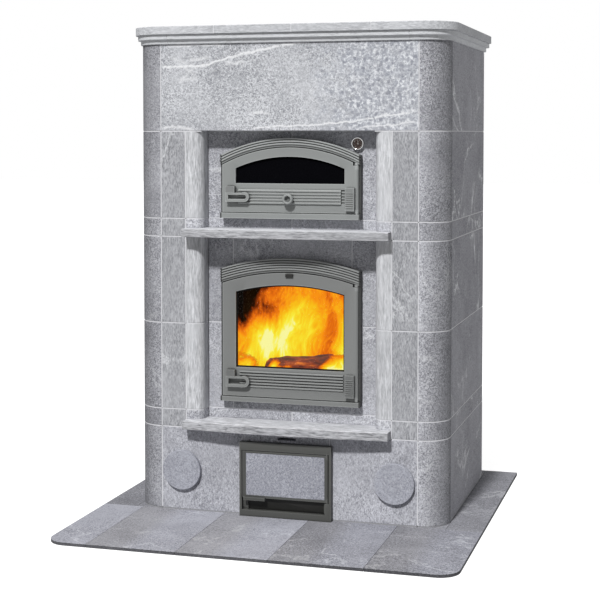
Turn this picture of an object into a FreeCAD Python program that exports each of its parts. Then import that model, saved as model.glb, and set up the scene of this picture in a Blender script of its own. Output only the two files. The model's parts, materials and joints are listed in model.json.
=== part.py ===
import FreeCAD, Part
import Sketcher
import os
import re

# Soapstone wood-burning heater with a bake oven, on a tiled hearth plate.
# +X is to the right of a person facing the doors, +Y runs to the back, +Z is up.
# The origin is the centre of the hearth plate's underside. All sizes are millimetres.

SIZES = {
    # hearth plate
    "hearth_side": 109, "hearth_front": 435, "hearth_back": 90, "hearth_thick": 10,
    "hearth_corner": 60, "hearth_joint": 0.8, "tile_columns": 4.412, "tile_start": 0.272,
    # stone shell
    "body_depth": 690, "joint": 3, "joint_rake": 0.8,
    "course_base": 258, "course_thin": 56, "course_main": 269,
    "corner_size": 85, "corner_radius": 82, "shell_front": 70, "shell_side": 70, "shell_back": 60,
    "surround_width": 49.5, "jamb_width": 54, "flat_width": 80, "jamb_round": 30,
    "recess_depth": 58, "panel_thick": 50,
    # cornice
    "cornice_low": 14, "cornice_mid": 15, "cornice_top": 25, "cornice_ring": 40,
    "overhang_low": 6, "overhang_mid": 15, "overhang_top": 22, "cornice_inset": 26, "slab_shift": 20,
    # shelves
    "shelf_thick": 25, "shelf_reach": 43, "shelf_bow": 16, "shelf_corner": 3,
    # cast door frames and leaves, shared sizes
    "frame_half": 222.5, "plate_thick": 12, "band_thick": 12, "rib_raise": 4, "rim_width": 5,
    "leaf_gap": 0.3, "leaf_thick": 14, "leaf_side_gap": 1.5, "band_gap": 3, "sill_gap": 2, "sill_reach": 18,
    "window_stile": 49.5, "glass_rebate": 8, "glass_lip": 6, "glass_rope": 2, "glass_thick": 4,
    "retainer_thick": 1.6, "retainer_width": 6, "rope_width": 8, "rope_deep": 5, "mouth_inset": 22,
    "stone_edge": 32.5, "frame_edge": 26.5, "rib_share": 0.6, "rib_rest": 0.5,
    "pin_radius": 3.5, "pin_fit": 0.05, "pin_seat": 0.02, "pin_grip": 12, "barrel_length": 10,
    "barrel_drop": 8,
    # fire door: rises above and drops below its two courses, arch radius as a share of the half width
    "fire_sill_rise": 29, "fire_leaf_rise": 46, "fire_apex_drop": 62, "fire_arch_share": 3.2135,
    "fire_band": 41, "fire_window_rise": 136, "fire_head": 38, "fire_rib_count": 5, "fire_rib_rise": 76,
    "fire_rib_pitch": 9, "fire_rib_wide": 5, "fire_rib_left": 62.5, "fire_rib_right": 52.5,
    "fire_open_rise": 66, "fire_open_drop": 130,
    # oven door: rises above and drops below its course, shares of the course height
    "oven_sill_rise": 3, "oven_leaf_rise": 22, "oven_apex_drop": 19, "oven_arch_share": 2.2157,
    "oven_band": 26, "oven_window_share": 0.4126, "oven_head": 28, "oven_rib_count": 3,
    "oven_open_rise": 27, "oven_open_drop": 72,
    # oven air slide and its knob
    "slide_stile": 59.5, "slide_low_share": 0.1747, "slide_high_share": 0.3457, "slide_thick": 4,
    "slide_deep": 3, "slide_play": 0.3, "comb_raise": 2, "comb_length": 16, "slide_rib": 2.6,
    "knob_radius": 17, "knob_height": 20, "knob_dimple": 7, "knob_drop": 6,
    "knob_neck": 9.5, "knob_neck_high": 10, "dimple_deep": 5,
    # loop handles, hinge blocks
    "hub_inset": 21.5, "hub_width": 29, "hub_tall": 20, "hub_deep": 16, "loop_length": 76,
    "fire_hub_rise": 109, "oven_hub_rise": 82, "fire_loop_tall": 33, "oven_loop_tall": 28,
    "loop_rod": 4.5, "hub_gap": 0.4, "spindle_radius": 5, "spindle_fit": 0.06, "tongue_length": 22,
    "tongue_wide": 12, "tongue_tail": 6.5, "tongue_thick": 4, "hinge_block_wide": 28, "hinge_block_deep": 14,
    "catch_half": 12, "catch_tall": 10, "catch_deep": 6,
    "fire_block_rise": 58, "fire_block_tall": 69, "oven_block_rise": 30, "oven_block_tall": 70,
    # thermometer
    "gauge_inset": 13.5, "gauge_rise": 36.066, "gauge_radius": 18.5, "gauge_deep": 12, "gauge_rim": 2.5,
    "gauge_stem": 4, "gauge_hole": 5, "needle_length": 11, "needle_wide": 1.6, "needle_pin": 0.8,
    "needle_hub": 2.4, "needle_thick": 1.4, "dial_thick": 1, "dial_pin": 3, "gauge_floor": 4,
    "gauge_play": 0.1,
    # ash door, heights above the hearth plate
    "ash_half": 145, "ash_drop": 29, "ash_plate": 8, "ash_rim_deep": 12, "ash_head": 25, "ash_rim": 7,
    "ash_sill": 20, "ash_leaf_low": 58, "ash_leaf_thick": 10, "ash_stile": 12, "ash_rail": 7,
    "ash_pin": 2.5, "ash_edge": 25, "ash_tab_long": 68, "ash_tab_reach": 12, "ash_tab_thick": 6,
    "ash_skin": 3, "ash_baffle": 2, "ash_baffle_back": 4, "ash_cover": 10,
    "slot_half": 29, "slot_drop": 22, "slot_tall": 8,
    # soot plugs
    "plug_inset": 69, "plug_z": 127, "plug_radius": 61.5, "plug_head": 14,
    "plug_neck": 50, "plug_fit": 0.5,
    # inner core of the heater
    "core_inset": 15, "core_wall": 55, "firebox_rear": 222, "ash_wall": 80, "ash_lift": 22,
    "floor_thick": 55, "grate_inset": 65, "grate_rest": 65, "grate_thick": 18, "grate_lip": 10,
    "oven_floor_drop": 48, "oven_floor_thick": 50, "throat": 60, "vault_lift": 23, "vault_thick": 80,
    "vault_rise": 45, "pan_high": 80, "pan_wall": 2, "pan_side": 8, "pan_deep": 330, "pan_play": 1,
    # rear flue collar
    "flue_radius": 75, "flue_wall": 3, "flue_reach": 55, "flue_flange": 22, "flue_z": 129,
}

# Counts and sides of what repeats.
SIDES = (("left", -1), ("right", 1))
TILE_STEPS = (-2, -1, 0, 1)
SLAB_STEPS = (-1, 0, 1)
SIDE_TILES = 3
COMB_TEETH = 5
GRATE_SLOTS = 9

# Places worked out from the sizes above.
PLACES = {
    "hearth_depth": "hearth_front + body_depth + hearth_back",
    "front": "hearth_front - hearth_depth / 2",
    "back": "front + body_depth",
    "jamb_x": "frame_half + surround_width",
    "flat_x": "jamb_x + jamb_width",
    "corner_x": "flat_x + flat_width",
    "half": "corner_x + corner_size",
    "rim": "half + hearth_side",
    "tile_width": "2 * rim / tile_columns",
    "tile_offset": "tile_width * tile_start",
    "floor": "hearth_thick",
    "corner_y": "front + corner_size",
    "cornice_split": "corner_x - cornice_inset",
    "slab_width": "half / 2",
    "gap": "joint / 2",
    "inner_x": "half - shell_side",
    "inner_back": "back - shell_back",
    "recess": "front + recess_depth",
    "panel_back": "recess + panel_thick",
    "row7": "floor",
    "row6": "row7 + course_base",
    "row5": "row6 + course_thin",
    "row4": "row5 + course_main",
    "row3": "row4 + course_main",
    "row2": "row3 + course_thin",
    "row1": "row2 + course_main",
    "row0": "row1 + course_main",
    "cornice1": "row0 + cornice_low",
    "cornice2": "cornice1 + cornice_mid",
    "summit": "cornice2 + cornice_top",
    # heights of the doors above the hearth plate, from the courses they stand in
    "fire_base": "course_base + course_thin",
    "fire_top": "fire_base + 2 * course_main",
    "oven_base": "fire_top + course_thin",
    "oven_top": "oven_base + course_main",
    "fire_sill_low": "fire_base + fire_sill_rise",
    "fire_leaf_low": "fire_base + fire_leaf_rise",
    "fire_window_low": "fire_base + fire_window_rise",
    "fire_rib_low": "fire_base + fire_rib_rise",
    "fire_open_low": "fire_base + fire_open_rise",
    "fire_hub_low": "fire_base + fire_hub_rise",
    "fire_block_low": "fire_base + fire_block_rise",
    "fire_block_high": "fire_block_low + fire_block_tall",
    "fire_open_high": "fire_top - fire_open_drop",
    "fire_apex": "fire_top - fire_apex_drop",
    "fire_arch": "frame_half * fire_arch_share",
    "oven_sill_low": "oven_base + oven_sill_rise",
    "oven_leaf_low": "oven_base + oven_leaf_rise",
    "oven_window_low": "oven_base + course_main * oven_window_share",
    "oven_open_low": "oven_base + oven_open_rise",
    "oven_hub_low": "oven_base + oven_hub_rise",
    "oven_block_low": "oven_base + oven_block_rise",
    "oven_block_high": "oven_block_low + oven_block_tall",
    "oven_open_high": "oven_top - oven_open_drop",
    "oven_apex": "oven_top - oven_apex_drop",
    "oven_arch": "frame_half * oven_arch_share",
    "oven_spring": "oven_apex - oven_arch + sqrt(oven_arch ^ 2 - frame_half ^ 2)",
    "gauge_z": "oven_spring + gauge_rise",
    "slide_low": "oven_base + course_main * slide_low_share",
    "slide_high": "oven_base + course_main * slide_high_share",
    "comb_pitch": "(slide_high - slide_low) / %d" % COMB_TEETH,
    "comb_wide": "comb_pitch / 2",
    "oven_floor_low": "oven_base - oven_floor_drop",
    "vault_low": "oven_top + vault_lift",
    "ash_high": "course_base + ash_lift",
    "ash_top": "course_base - ash_drop",
    "slot_low": "course_base - slot_drop",
    "plate_front": "recess - plate_thick",
    "band_front": "plate_front - band_thick",
    "mouth_half": "frame_half - stone_edge",
    "frame_mouth": "frame_half - frame_edge",
    "window_half": "frame_half - window_stile",
    "slide_half": "frame_half - slide_stile",
    "hub_left": "frame_half - hub_inset",
    "gauge_x": "frame_half - gauge_inset",
    "leaf_back": "plate_front - leaf_gap",
    "leaf_front": "leaf_back - leaf_thick",
    "leaf_right": "frame_half - rim_width - leaf_side_gap",
    "hinge_x": "leaf_right - leaf_thick / 2",
    "hinge_y": "leaf_back - leaf_thick / 2",
    "ash_plate_front": "front - ash_plate",
    "ash_front": "ash_plate_front - ash_rim_deep",
    "ash_leaf_back": "ash_plate_front - leaf_gap",
    "ash_leaf_front": "ash_leaf_back - ash_leaf_thick",
    "ash_leaf_right": "ash_half - ash_rim - leaf_side_gap",
    "ash_hinge_x": "ash_leaf_right - ash_leaf_thick / 2",
    "ash_hinge_y": "ash_leaf_back - ash_leaf_thick / 2",
    "ash_leaf_top": "floor + ash_top - ash_head - sill_gap",
    "ash_open": "ash_half - ash_edge",
    "ash_lintel_half": "ash_half - ash_cover",
    "pan_half": "ash_open - pan_side",
    "plug_x": "corner_x - plug_inset",
    "fire_half": "mouth_half - core_inset",
    "grate_half": "fire_half - grate_inset",
    "fire_back": "back - firebox_rear",
    "grate_deep": "fire_back - panel_back - core_wall - grate_rest",
    "core_x": "fire_half + core_wall",
    "core_back": "fire_back + core_wall",
    "fire_floor": "floor + ash_high + floor_thick",
    "oven_floor": "floor + oven_floor_low + oven_floor_thick",
}

doc = FreeCAD.newDocument("stove")
sheet = doc.addObject("Spreadsheet::Sheet", "Sizes")
for row, (alias, value) in enumerate(SIZES.items(), start=1):
    sheet.set("A%d" % row, alias)
    sheet.set("B%d" % row, str(value))
    sheet.setAlias("B%d" % row, alias)
doc.recompute()

NODES = {}
WORD = re.compile(r"[a-z][a-z_0-9]*")


def formula(text):
    """Turn a text of size and place names into an expression on the sheet."""
    def put(match):
        word = match.group(0)
        if word in PLACES:
            return "(" + formula(PLACES[word]) + ")"
        if word in SIZES:
            return "Sizes." + word
        return word
    return WORD.sub(put, str(text))


def bind(thing, prop, text):
    thing.setExpression(prop, formula(text))


def minus(a, b):
    return "(%s) - (%s)" % (a, b)


def plus(a, b):
    return "(%s) + (%s)" % (a, b)


def node(name, thing):
    """Give a finished sub-part its name."""
    thing.Label = name
    NODES[name] = thing
    return thing


def fresh(kind, name):
    return doc.addObject(kind, name)


def block(name, x, y, z):
    """A box between the two ends given for each axis."""
    box = fresh("Part::Box", name)
    for prop, axis, (low, high) in (("Length", "x", x), ("Width", "y", y), ("Height", "z", z)):
        bind(box, prop, minus(high, low))
        bind(box, "Placement.Base." + axis, low)
    return box


TURNS = {
    "x": FreeCAD.Rotation(FreeCAD.Vector(0, 1, 0), 90),
    "y": FreeCAD.Rotation(FreeCAD.Vector(1, 0, 0), -90),
    "z": FreeCAD.Rotation(),
}


def rod(name, radius, along, ends, centre):
    """A round bar along one axis; centre gives its place on the other two, in axis order."""
    bar = fresh("Part::Cylinder", name)
    bar.Placement = FreeCAD.Placement(FreeCAD.Vector(), TURNS[along])
    bind(bar, "Radius", radius)
    bind(bar, "Height", minus(ends[1], ends[0]))
    bind(bar, "Placement.Base." + along, ends[0])
    others = [axis for axis in "xyz" if axis != along]
    for axis, place in zip(others, centre):
        bind(bar, "Placement.Base." + axis, place)
    return bar


def join(name, parts):
    if len(parts) == 1:
        return parts[0]
    whole = fresh("Part::MultiFuse", name)
    whole.Shapes = parts
    whole.Refine = True
    return whole


def cut(name, base, *tools):
    rest = fresh("Part::Cut", name)
    rest.Base = base
    rest.Tool = join(name + "_tools", list(tools))
    rest.Refine = True
    return rest


def common(name, *parts):
    both = fresh("Part::MultiCommon", name)
    both.Shapes = list(parts)
    both.Refine = True
    return both


def group(name, parts):
    """Several like solids that share one node."""
    whole = fresh("Part::Compound", name)
    whole.Links = parts
    return node(name, whole)


def span(sign, low, high):
    """The range from low to high on the right side, mirrored for the left side."""
    if sign > 0:
        return (low, high)
    return ("-(%s)" % high, "-(%s)" % low)


def rounded_block(name, x, y, z, sign, radius, side):
    """A block whose front edge is rounded: side 'outer' away from the middle, 'inner' towards it."""
    body = block(name + "_box", x, y, z)
    to_right = (sign > 0) == (side == "outer")
    edge = x[1] if to_right else x[0]
    middle = minus(edge, radius) if to_right else plus(edge, radius)
    centre_y = plus(y[0], radius)
    reach = (middle, edge) if to_right else (edge, middle)
    waste = block(name + "_corner", reach, (y[0], centre_y), z)
    post = rod(name + "_post", radius, "z", z, (middle, centre_y))
    return cut(name, body, cut(name + "_waste", waste, post))


ROWS = {
    1: ("row1", "row0"), 2: ("row2", "row1"), 3: ("row3", "row2"), 4: ("row4", "row3"),
    5: ("row5", "row4"), 6: ("row6", "row5"), 7: ("row7", "row6"),
}
beds = []
uprights = []
pins = []


def laid(row):
    """Height range of a stone that stands on the bed joint of its row."""
    low, high = ROWS[row]
    return (plus(low, "joint"), high)


def bed(name, x, y, row, trim=("joint_rake", "joint_rake", "joint_rake", "0")):
    """The mortar bed under a stone, raked back from its visible faces: left, right, front, back."""
    low = ROWS[row][0]
    beds.append(block(
        name, (plus(x[0], trim[0]), minus(x[1], trim[1])), (plus(y[0], trim[2]), minus(y[1], trim[3])),
        (low, plus(low, "joint"))))


def upright(name, x, y, row):
    """The mortar of an upright joint centred on x, over one course."""
    uprights.append(block(name, (minus(x, "gap"), plus(x, "gap")), y, laid(row)))


def make_hearth():
    """Thin stone tiles: a front field with rounded corners, two side rows and the plate under the body."""
    rim = "rim"
    near = "-hearth_depth / 2"
    far = "hearth_depth / 2"
    z = ("0", "hearth_thick")
    seams = ["tile_offset + %d * tile_width" % step for step in TILE_STEPS]
    edges = ["-" + rim] + seams + [rim]
    last = len(seams)
    tiles = []
    for index in range(len(edges) - 1):
        x = [plus(edges[index], "hearth_joint / 2"), minus(edges[index + 1], "hearth_joint / 2")]
        if index == 0:
            x[0] = edges[0]
        if index == last:
            x[1] = rim
        y = (near, minus("front", "hearth_joint"))
        name = "front_tile%d" % index
        if index == 0:
            tiles.append(rounded_block(name, x, y, z, -1, "hearth_corner", "outer"))
        elif index == last:
            tiles.append(rounded_block(name, x, y, z, 1, "hearth_corner", "outer"))
        else:
            tiles.append(block(name, x, y, z))
    group("hearth_front_tiles", tiles)
    flank_tiles = []
    for side, sign in SIDES:
        for index in range(SIDE_TILES):
            share = "front + (%s - front) * %d / %d"
            start = share % (far, index, SIDE_TILES)
            y = (plus(start, "hearth_joint") if index else start, share % (far, index + 1, SIDE_TILES))
            x = span(sign, plus("half", "hearth_joint"), rim)
            flank_tiles.append(block("%s_tile%d" % (side, index), x, y, z))
    group("hearth_side_tiles", flank_tiles)
    node("hearth_base_plate", block("base_plate", ("-half", "half"), ("front", far), z))


def make_shell():
    """Corner stones, side stones, back stones and the flat stones beside the recess."""
    front_y = ("front", "front + shell_front")
    corners = []
    flanks = []
    flats = []
    for side, sign in SIDES:
        for row in ROWS:
            corner_x = span(sign, plus("corner_x", "gap"), "half")
            corner_y = ("front", minus("corner_y", "gap"))
            corners.append(rounded_block(
                "corner_%s%d" % (side, row), corner_x, corner_y, laid(row), sign, "corner_radius", "outer"))
            bed_x = span(sign, plus("corner_x", "gap"), minus("half", "joint_rake"))
            bed_y = (plus("front", "joint_rake"), minus("corner_y", "gap"))
            low = ROWS[row][0]
            beds.append(rounded_block(
                "corner_bed_%s%d" % (side, row), bed_x, bed_y, (low, plus(low, "joint")), sign,
                minus("corner_radius", "joint_rake"), "outer"))
            side_x = span(sign, "inner_x", "half")
            side_y = (plus("corner_y", "gap"), "back")
            flanks.append(block("flank_%s%d" % (side, row), side_x, side_y, laid(row)))
            bed("flank_bed_%s%d" % (side, row), side_x, side_y, row,
                ("joint_rake", "joint_rake", "0", "joint_rake"))
            uprights.append(block(
                "flank_joint_%s%d" % (side, row), span(sign, "inner_x", minus("half", "joint_rake")),
                (minus("corner_y", "gap"), plus("corner_y", "gap")), laid(row)))
            joint_x = "%d * (corner_x)" % sign
            joint_y = (plus("front", "joint_rake"), front_y[1])
            upright("corner_joint_%s%d" % (side, row), joint_x, joint_y, row)
            if row in (2, 3, 4, 5, 6):
                flat_x = span(sign, plus("flat_x", "gap"), minus("corner_x", "gap"))
                flats.append(block("flat_%s%d" % (side, row), flat_x, front_y, laid(row)))
                bed("flat_bed_%s%d" % (side, row), flat_x, front_y, row, ("0", "0", "joint_rake", "0"))
                upright("flat_joint_%s%d" % (side, row), "%d * (flat_x)" % sign,
                        (plus("front", "joint_rake"), front_y[1]), row)
    group("corner_stones", corners)
    group("side_stones", flanks)
    group("flat_stones", flats)
    back_y = ("inner_back", "back")
    back = []
    for row in ROWS:
        bed("back_bed%d" % row, ("-inner_x", "inner_x"), back_y, row, ("0", "0", "0", "joint_rake"))
        for side, sign in SIDES:
            if row < 7:
                back.append(block("back_%s%d" % (side, row), span(sign, "gap", minus("inner_x", "joint")),
                                  back_y, laid(row)))
            back_joint_x = span(sign, minus("inner_x", "joint"), "inner_x")
            uprights.append(block("back_joint_%s%d" % (side, row), back_joint_x,
                                  (back_y[0], minus("back", "joint_rake")), laid(row)))
        if row < 7:
            upright("back_middle%d" % row, "0", (back_y[0], minus("back", "joint_rake")), row)
    group("back_stones", back)
    lintel_x = (plus("-(corner_x)", "gap"), minus("corner_x", "gap"))
    node("lintel_stone", block("lintel", lintel_x, front_y, laid(1)))
    for side, sign in SIDES:
        bed_x = span(sign, plus("jamb_x", "joint_rake"), minus("corner_x", "gap"))
        bed("lintel_bed_%s" % side, bed_x, front_y, 1, ("0", "0", "joint_rake", "0"))
    bed("lintel_panel_bed", ("-(jamb_x) + joint_rake", "jamb_x - joint_rake"), ("recess", front_y[1]), 1,
        ("0", "0", "joint_rake", "0"))


def make_recess():
    """Rounded jamb stones and the stones round the two doors, set back from the front."""
    front_y = ("front", "front + shell_front")
    panel_y = ("recess", "panel_back")
    jambs = []
    surround = []
    for side, sign in SIDES:
        jamb_x = span(sign, "jamb_x", minus("flat_x", "gap"))
        for row in (2, 4, 5):
            jambs.append(rounded_block(
                "jamb_%s%d" % (side, row), jamb_x, front_y, laid(row), sign, "jamb_round", "inner"))
            low = ROWS[row][0]
            bed_x = span(sign, plus("jamb_x", "joint_rake"), minus("flat_x", "gap"))
            bed_y = (plus("front", "joint_rake"), front_y[1])
            beds.append(rounded_block(
                "jamb_bed_%s%d" % (side, row), bed_x, bed_y, (low, plus(low, "joint")), sign,
                minus("jamb_round", "joint_rake"), "inner"))
        panel_x = span(sign, plus("mouth_half", "gap"), minus("jamb_x", "joint_rake"))
        for row in (4, 5):
            surround.append(block("fire_side_%s%d" % (side, row), panel_x, panel_y, laid(row)))
        for row in (2, 4, 5):
            bed("panel_bed_%s%d" % (side, row), span(sign, "mouth_half", minus("jamb_x", "joint_rake")),
                panel_y, row, ("0", "0", "joint_rake", "0"))
    low5, high4 = ROWS[5][0], ROWS[4][1]
    centre_x = ("-mouth_half + gap", "mouth_half - gap")
    surround.append(block("fire_head", centre_x, panel_y, ("floor + fire_open_high", high4)))
    surround.append(block("fire_foot", centre_x, panel_y, (plus(low5, "joint"), "floor + fire_open_low")))
    group("jamb_stones", jambs)
    group("fire_surround_stones", surround)
    bed("foot_bed", centre_x, panel_y, 5, ("0", "0", "joint_rake", "0"))
    for side, sign in SIDES:
        x = "%d * (mouth_half)" % sign
        middle = (minus(x, "gap"), plus(x, "gap"))
        panel_front = (plus("recess", "joint_rake"), "panel_back")
        uprights.append(block("head_joint_%s" % side, middle, panel_front, ("floor + fire_open_high", high4)))
        uprights.append(block("foot_joint_%s" % side, middle, panel_front,
                              (plus(low5, "joint"), "floor + fire_open_low")))
    low2, high2 = laid(2)
    mouth = block("oven_mouth_cut", ("-mouth_half", "mouth_half"), panel_y,
                  ("floor + oven_open_low", "floor + oven_open_high"))
    well = rod("gauge_well", "gauge_hole", "y", panel_y, ("gauge_x", "floor + gauge_z"))
    oven_stones = []
    for side, sign in SIDES:
        x = span(sign, "gap", minus("jamb_x", "joint_rake"))
        stone = block("oven_side_%s" % side, x, panel_y, (low2, high2))
        oven_stones.append(cut("oven_stone_%s" % side, stone, mouth, well))
    group("oven_surround_stones", oven_stones)
    for name, z in (("oven_head_joint", ("floor + oven_open_high", high2)),
                    ("oven_foot_joint", (low2, "floor + oven_open_low"))):
        uprights.append(block(name, ("-gap", "gap"), (plus("recess", "joint_rake"), "panel_back"), z))
    bed("oven_foot_bed", ("-mouth_half", "mouth_half"), panel_y, 2, ("0", "0", "joint_rake", "0"))


def make_shelves():
    """Two bow-fronted shelves in the thin courses, each with a pair of thin stones above it."""
    strips = []
    for name, row in (("upper", 3), ("lower", 6)):
        low, high = ROWS[row]
        x = ("-(flat_x) + gap", "flat_x - gap")
        y = ("front - shelf_reach - shelf_bow", "panel_back")
        z = (plus(low, "joint"), plus(low, "joint + shelf_thick"))
        plank = block(name + "_plank", x, y, z)
        bow_radius = "((flat_x) * (flat_x) + shelf_bow * shelf_bow) / (2 * shelf_bow)"
        bow_y = plus("front - shelf_reach - shelf_bow", bow_radius)
        disc = rod(name + "_bow", bow_radius, "z", z, ("0", bow_y))
        board = common(name + "_board", plank, disc)
        doc.recompute()
        rounded = fresh("Part::Fillet", name + "_rounded")
        rounded.Base = board
        corner = sheet.get("shelf_corner")
        edges = [index for index, edge in enumerate(board.Shape.Edges, start=1) if is_front_corner(edge)]
        rounded.Edges = [(index, corner, corner) for index in edges]
        node(name + "_shelf", rounded)
        bed(name + "_shelf_bed", x, ("front", "panel_back"), row, ("0", "0", "joint_rake", "0"))
        top = plus(low, "joint + shelf_thick")
        for side, sign in SIDES:
            outer = rounded_block(name + "_strip_" + side, span(sign, "jamb_x", minus("flat_x", "gap")),
                                  ("front", "front + shell_front"), (top, high), sign, "jamb_round", "inner")
            inner = block(name + "_strip_panel_" + side, span(sign, "gap", "jamb_x"),
                          ("recess", "panel_back"), (top, high))
            strips.append(join(name + "_strip_stone_" + side, [outer, inner]))
        uprights.append(block(name + "_strip_joint", ("-gap", "gap"),
                              (plus("recess", "joint_rake"), "panel_back"), (top, high)))
    group("strip_stones", strips)


def is_front_corner(edge):
    """An upright edge on the front half of a shelf."""
    a, b = edge.Vertexes[0].Point, edge.Vertexes[-1].Point
    upright_edge = abs(a.x - b.x) < 0.01 and abs(a.y - b.y) < 0.01
    return upright_edge and a.y < edge_limit()


def edge_limit():
    """The body's front plane, worked out from the sheet."""
    depth = sheet.get("hearth_front") + sheet.get("body_depth") + sheet.get("hearth_back")
    return sheet.get("hearth_front") - depth / 2


def make_base():
    """Base course stones: two with a soot opening, a slotted one above the ash door, one with the flue."""
    front_y = ("front", "front + shell_front")
    low, high = laid(7)
    stones = []
    for side, sign in SIDES:
        x = span(sign, "ash_lintel_half + gap", minus("corner_x", "gap"))
        stone = block("base_%s" % side, x, front_y, (low, high))
        hole = rod("plug_hole_%s" % side, "plug_neck + plug_fit", "y", front_y,
                   ("%d * (plug_x)" % sign, "floor + plug_z"))
        stones.append(cut("base_cut_%s" % side, stone, hole))
        bed("base_bed_%s" % side, x, front_y, 7, ("0", "0", "joint_rake", "0"))
        joint_x = "%d * (ash_lintel_half)" % sign
        uprights.append(block("base_joint_%s" % side, (minus(joint_x, "gap"), plus(joint_x, "gap")),
                              (plus("front", "joint_rake"), front_y[1]),
                              ("floor + ash_top - ash_head", high)))
    group("base_stones", stones)
    lintel = block("ash_lintel", ("-ash_lintel_half + gap", "ash_lintel_half - gap"), front_y,
                   ("floor + ash_top - ash_head", high))
    slot = block("slot_cut", ("-slot_half", "slot_half"), front_y,
                 ("floor + slot_low", "floor + slot_low + slot_tall"))
    node("ash_lintel_stone", cut("ash_lintel_cut", lintel, slot))
    back_y = ("inner_back", "back")
    flue = rod("flue_hole", "flue_radius + flue_wall + plug_fit", "y", back_y, ("0", "floor + flue_z"))
    node("flue_stone", cut("flue_stone_cut", block(
        "flue_block", (plus("-(inner_x)", "joint"), minus("inner_x", "joint")), back_y, (low, high)), flue))


def outline(name, overhang, z):
    """The body's plan, grown by an overhang: square at the back, rounded at the front corners."""
    wide = plus("half", overhang)
    y = (minus("front", overhang), plus("back", overhang))
    radius = plus("corner_radius", overhang)
    plan = block(name + "_plan", ("-(%s)" % wide, wide), y, z)
    wastes = []
    for side, sign in SIDES:
        middle = minus(wide, radius)
        square = block("%s_waste_%s" % (name, side), span(sign, middle, wide), (y[0], plus(y[0], radius)), z)
        spot = ("%d * (%s)" % (sign, middle), plus(y[0], radius))
        post = rod("%s_post_%s" % (name, side), radius, "z", z, spot)
        wastes.append(cut("%s_round_%s" % (name, side), square, post))
    return cut(name, plan, *wastes)


def make_cornice():
    """Two stepped moulding rings, each in four lengths, under a top of four slabs."""
    field = "half - cornice_ring"
    inner_y = ("front + cornice_ring", "back - cornice_ring")
    lengths = {"front": [], "left": [], "right": [], "back": []}
    for name, overhang, z in (("lower_band", "overhang_low", ("row0", "cornice1")),
                              ("middle_band", "overhang_mid", ("cornice1", "cornice2"))):
        plan = outline(name, overhang, z)
        hole = block(name + "_hole", ("-(%s)" % field, field), inner_y, z)
        whole = cut(name + "_ring", plan, hole)
        edge = plus("half", "overhang_top")
        zones = {
            "front": (("-cornice_split + gap", "cornice_split - gap"), ("front - overhang_top", inner_y[0])),
            "back": (("-(%s)" % field, field), (inner_y[1], "back + overhang_top")),
        }
        for part, (x, y) in zones.items():
            zone = block("%s_%s_zone" % (name, part), x, y, z)
            lengths[part].append(common("%s_%s" % (name, part), whole, zone))
        for side, sign in SIDES:
            arm_y = (inner_y[0], "back + overhang_top")
            arm = block("%s_%s_arm" % (name, side), span(sign, field, edge), arm_y, z)
            nose = block("%s_%s_nose" % (name, side), span(sign, "cornice_split", edge),
                         ("front - overhang_top", inner_y[0]), z)
            zone = join("%s_%s_zone" % (name, side), [arm, nose])
            lengths[side].append(common("%s_%s" % (name, side), whole, zone))
            uprights.append(block("%s_%s_joint" % (name, side), span(sign, "cornice_split - gap", "cornice_split"),
                                  ("front - %s + joint_rake" % overhang, inner_y[0]), z))
    group("cornice_mouldings", [join("cornice_%s" % part, bands) for part, bands in lengths.items()])
    node("ceiling_slab", block("ceiling", ("-(%s)" % field, field), inner_y, ("row0", "cornice2")))
    top_z = ("cornice2", "summit")
    whole = outline("top_band", "overhang_top", top_z)
    seams = ["slab_shift + %d * slab_width" % step for step in SLAB_STEPS]
    edges = ["-(half + overhang_top)"] + seams + ["half + overhang_top"]
    slabs = []
    for index in range(len(edges) - 1):
        x = (plus(edges[index], "gap"), minus(edges[index + 1], "gap"))
        zone = block("slab_zone%d" % index, x, ("front - overhang_top", "back + overhang_top"), top_z)
        slabs.append(common("top_slab%d" % index, whole, zone))
    for index, seam in enumerate(seams):
        uprights.append(block("slab_joint%d" % index, (minus(seam, "gap"), plus(seam, "gap")),
                              ("front - overhang_top + joint_rake", "back + overhang_top - joint_rake"),
                              ("cornice2", "summit - joint_rake")))
    group("top_slabs", slabs)


def arch(name, half_width, low, apex, radius, y):
    """An upright plate with a straight foot and an arched head."""
    plate = block(name + "_plate", ("-(%s)" % half_width, half_width), y, (low, apex))
    disc = rod(name + "_disc", radius, "y", past(y), ("0", minus(apex, radius)))
    return common(name, plate, disc)


def past(y):
    """A range that runs past both ends of another, so that cuts and arches have no shared end faces."""
    return (minus(y[0], "joint"), plus(y[1], "joint"))


def arch_ring(name, half_width, low, apex, radius, y, width):
    """An arched frame of even width."""
    outer = arch(name + "_outer", half_width, low, apex, radius, y)
    inner = arch(name + "_inner", minus(half_width, width), plus(low, width), minus(apex, width),
                 minus(radius, width), past(y))
    return cut(name, outer, inner)


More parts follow.
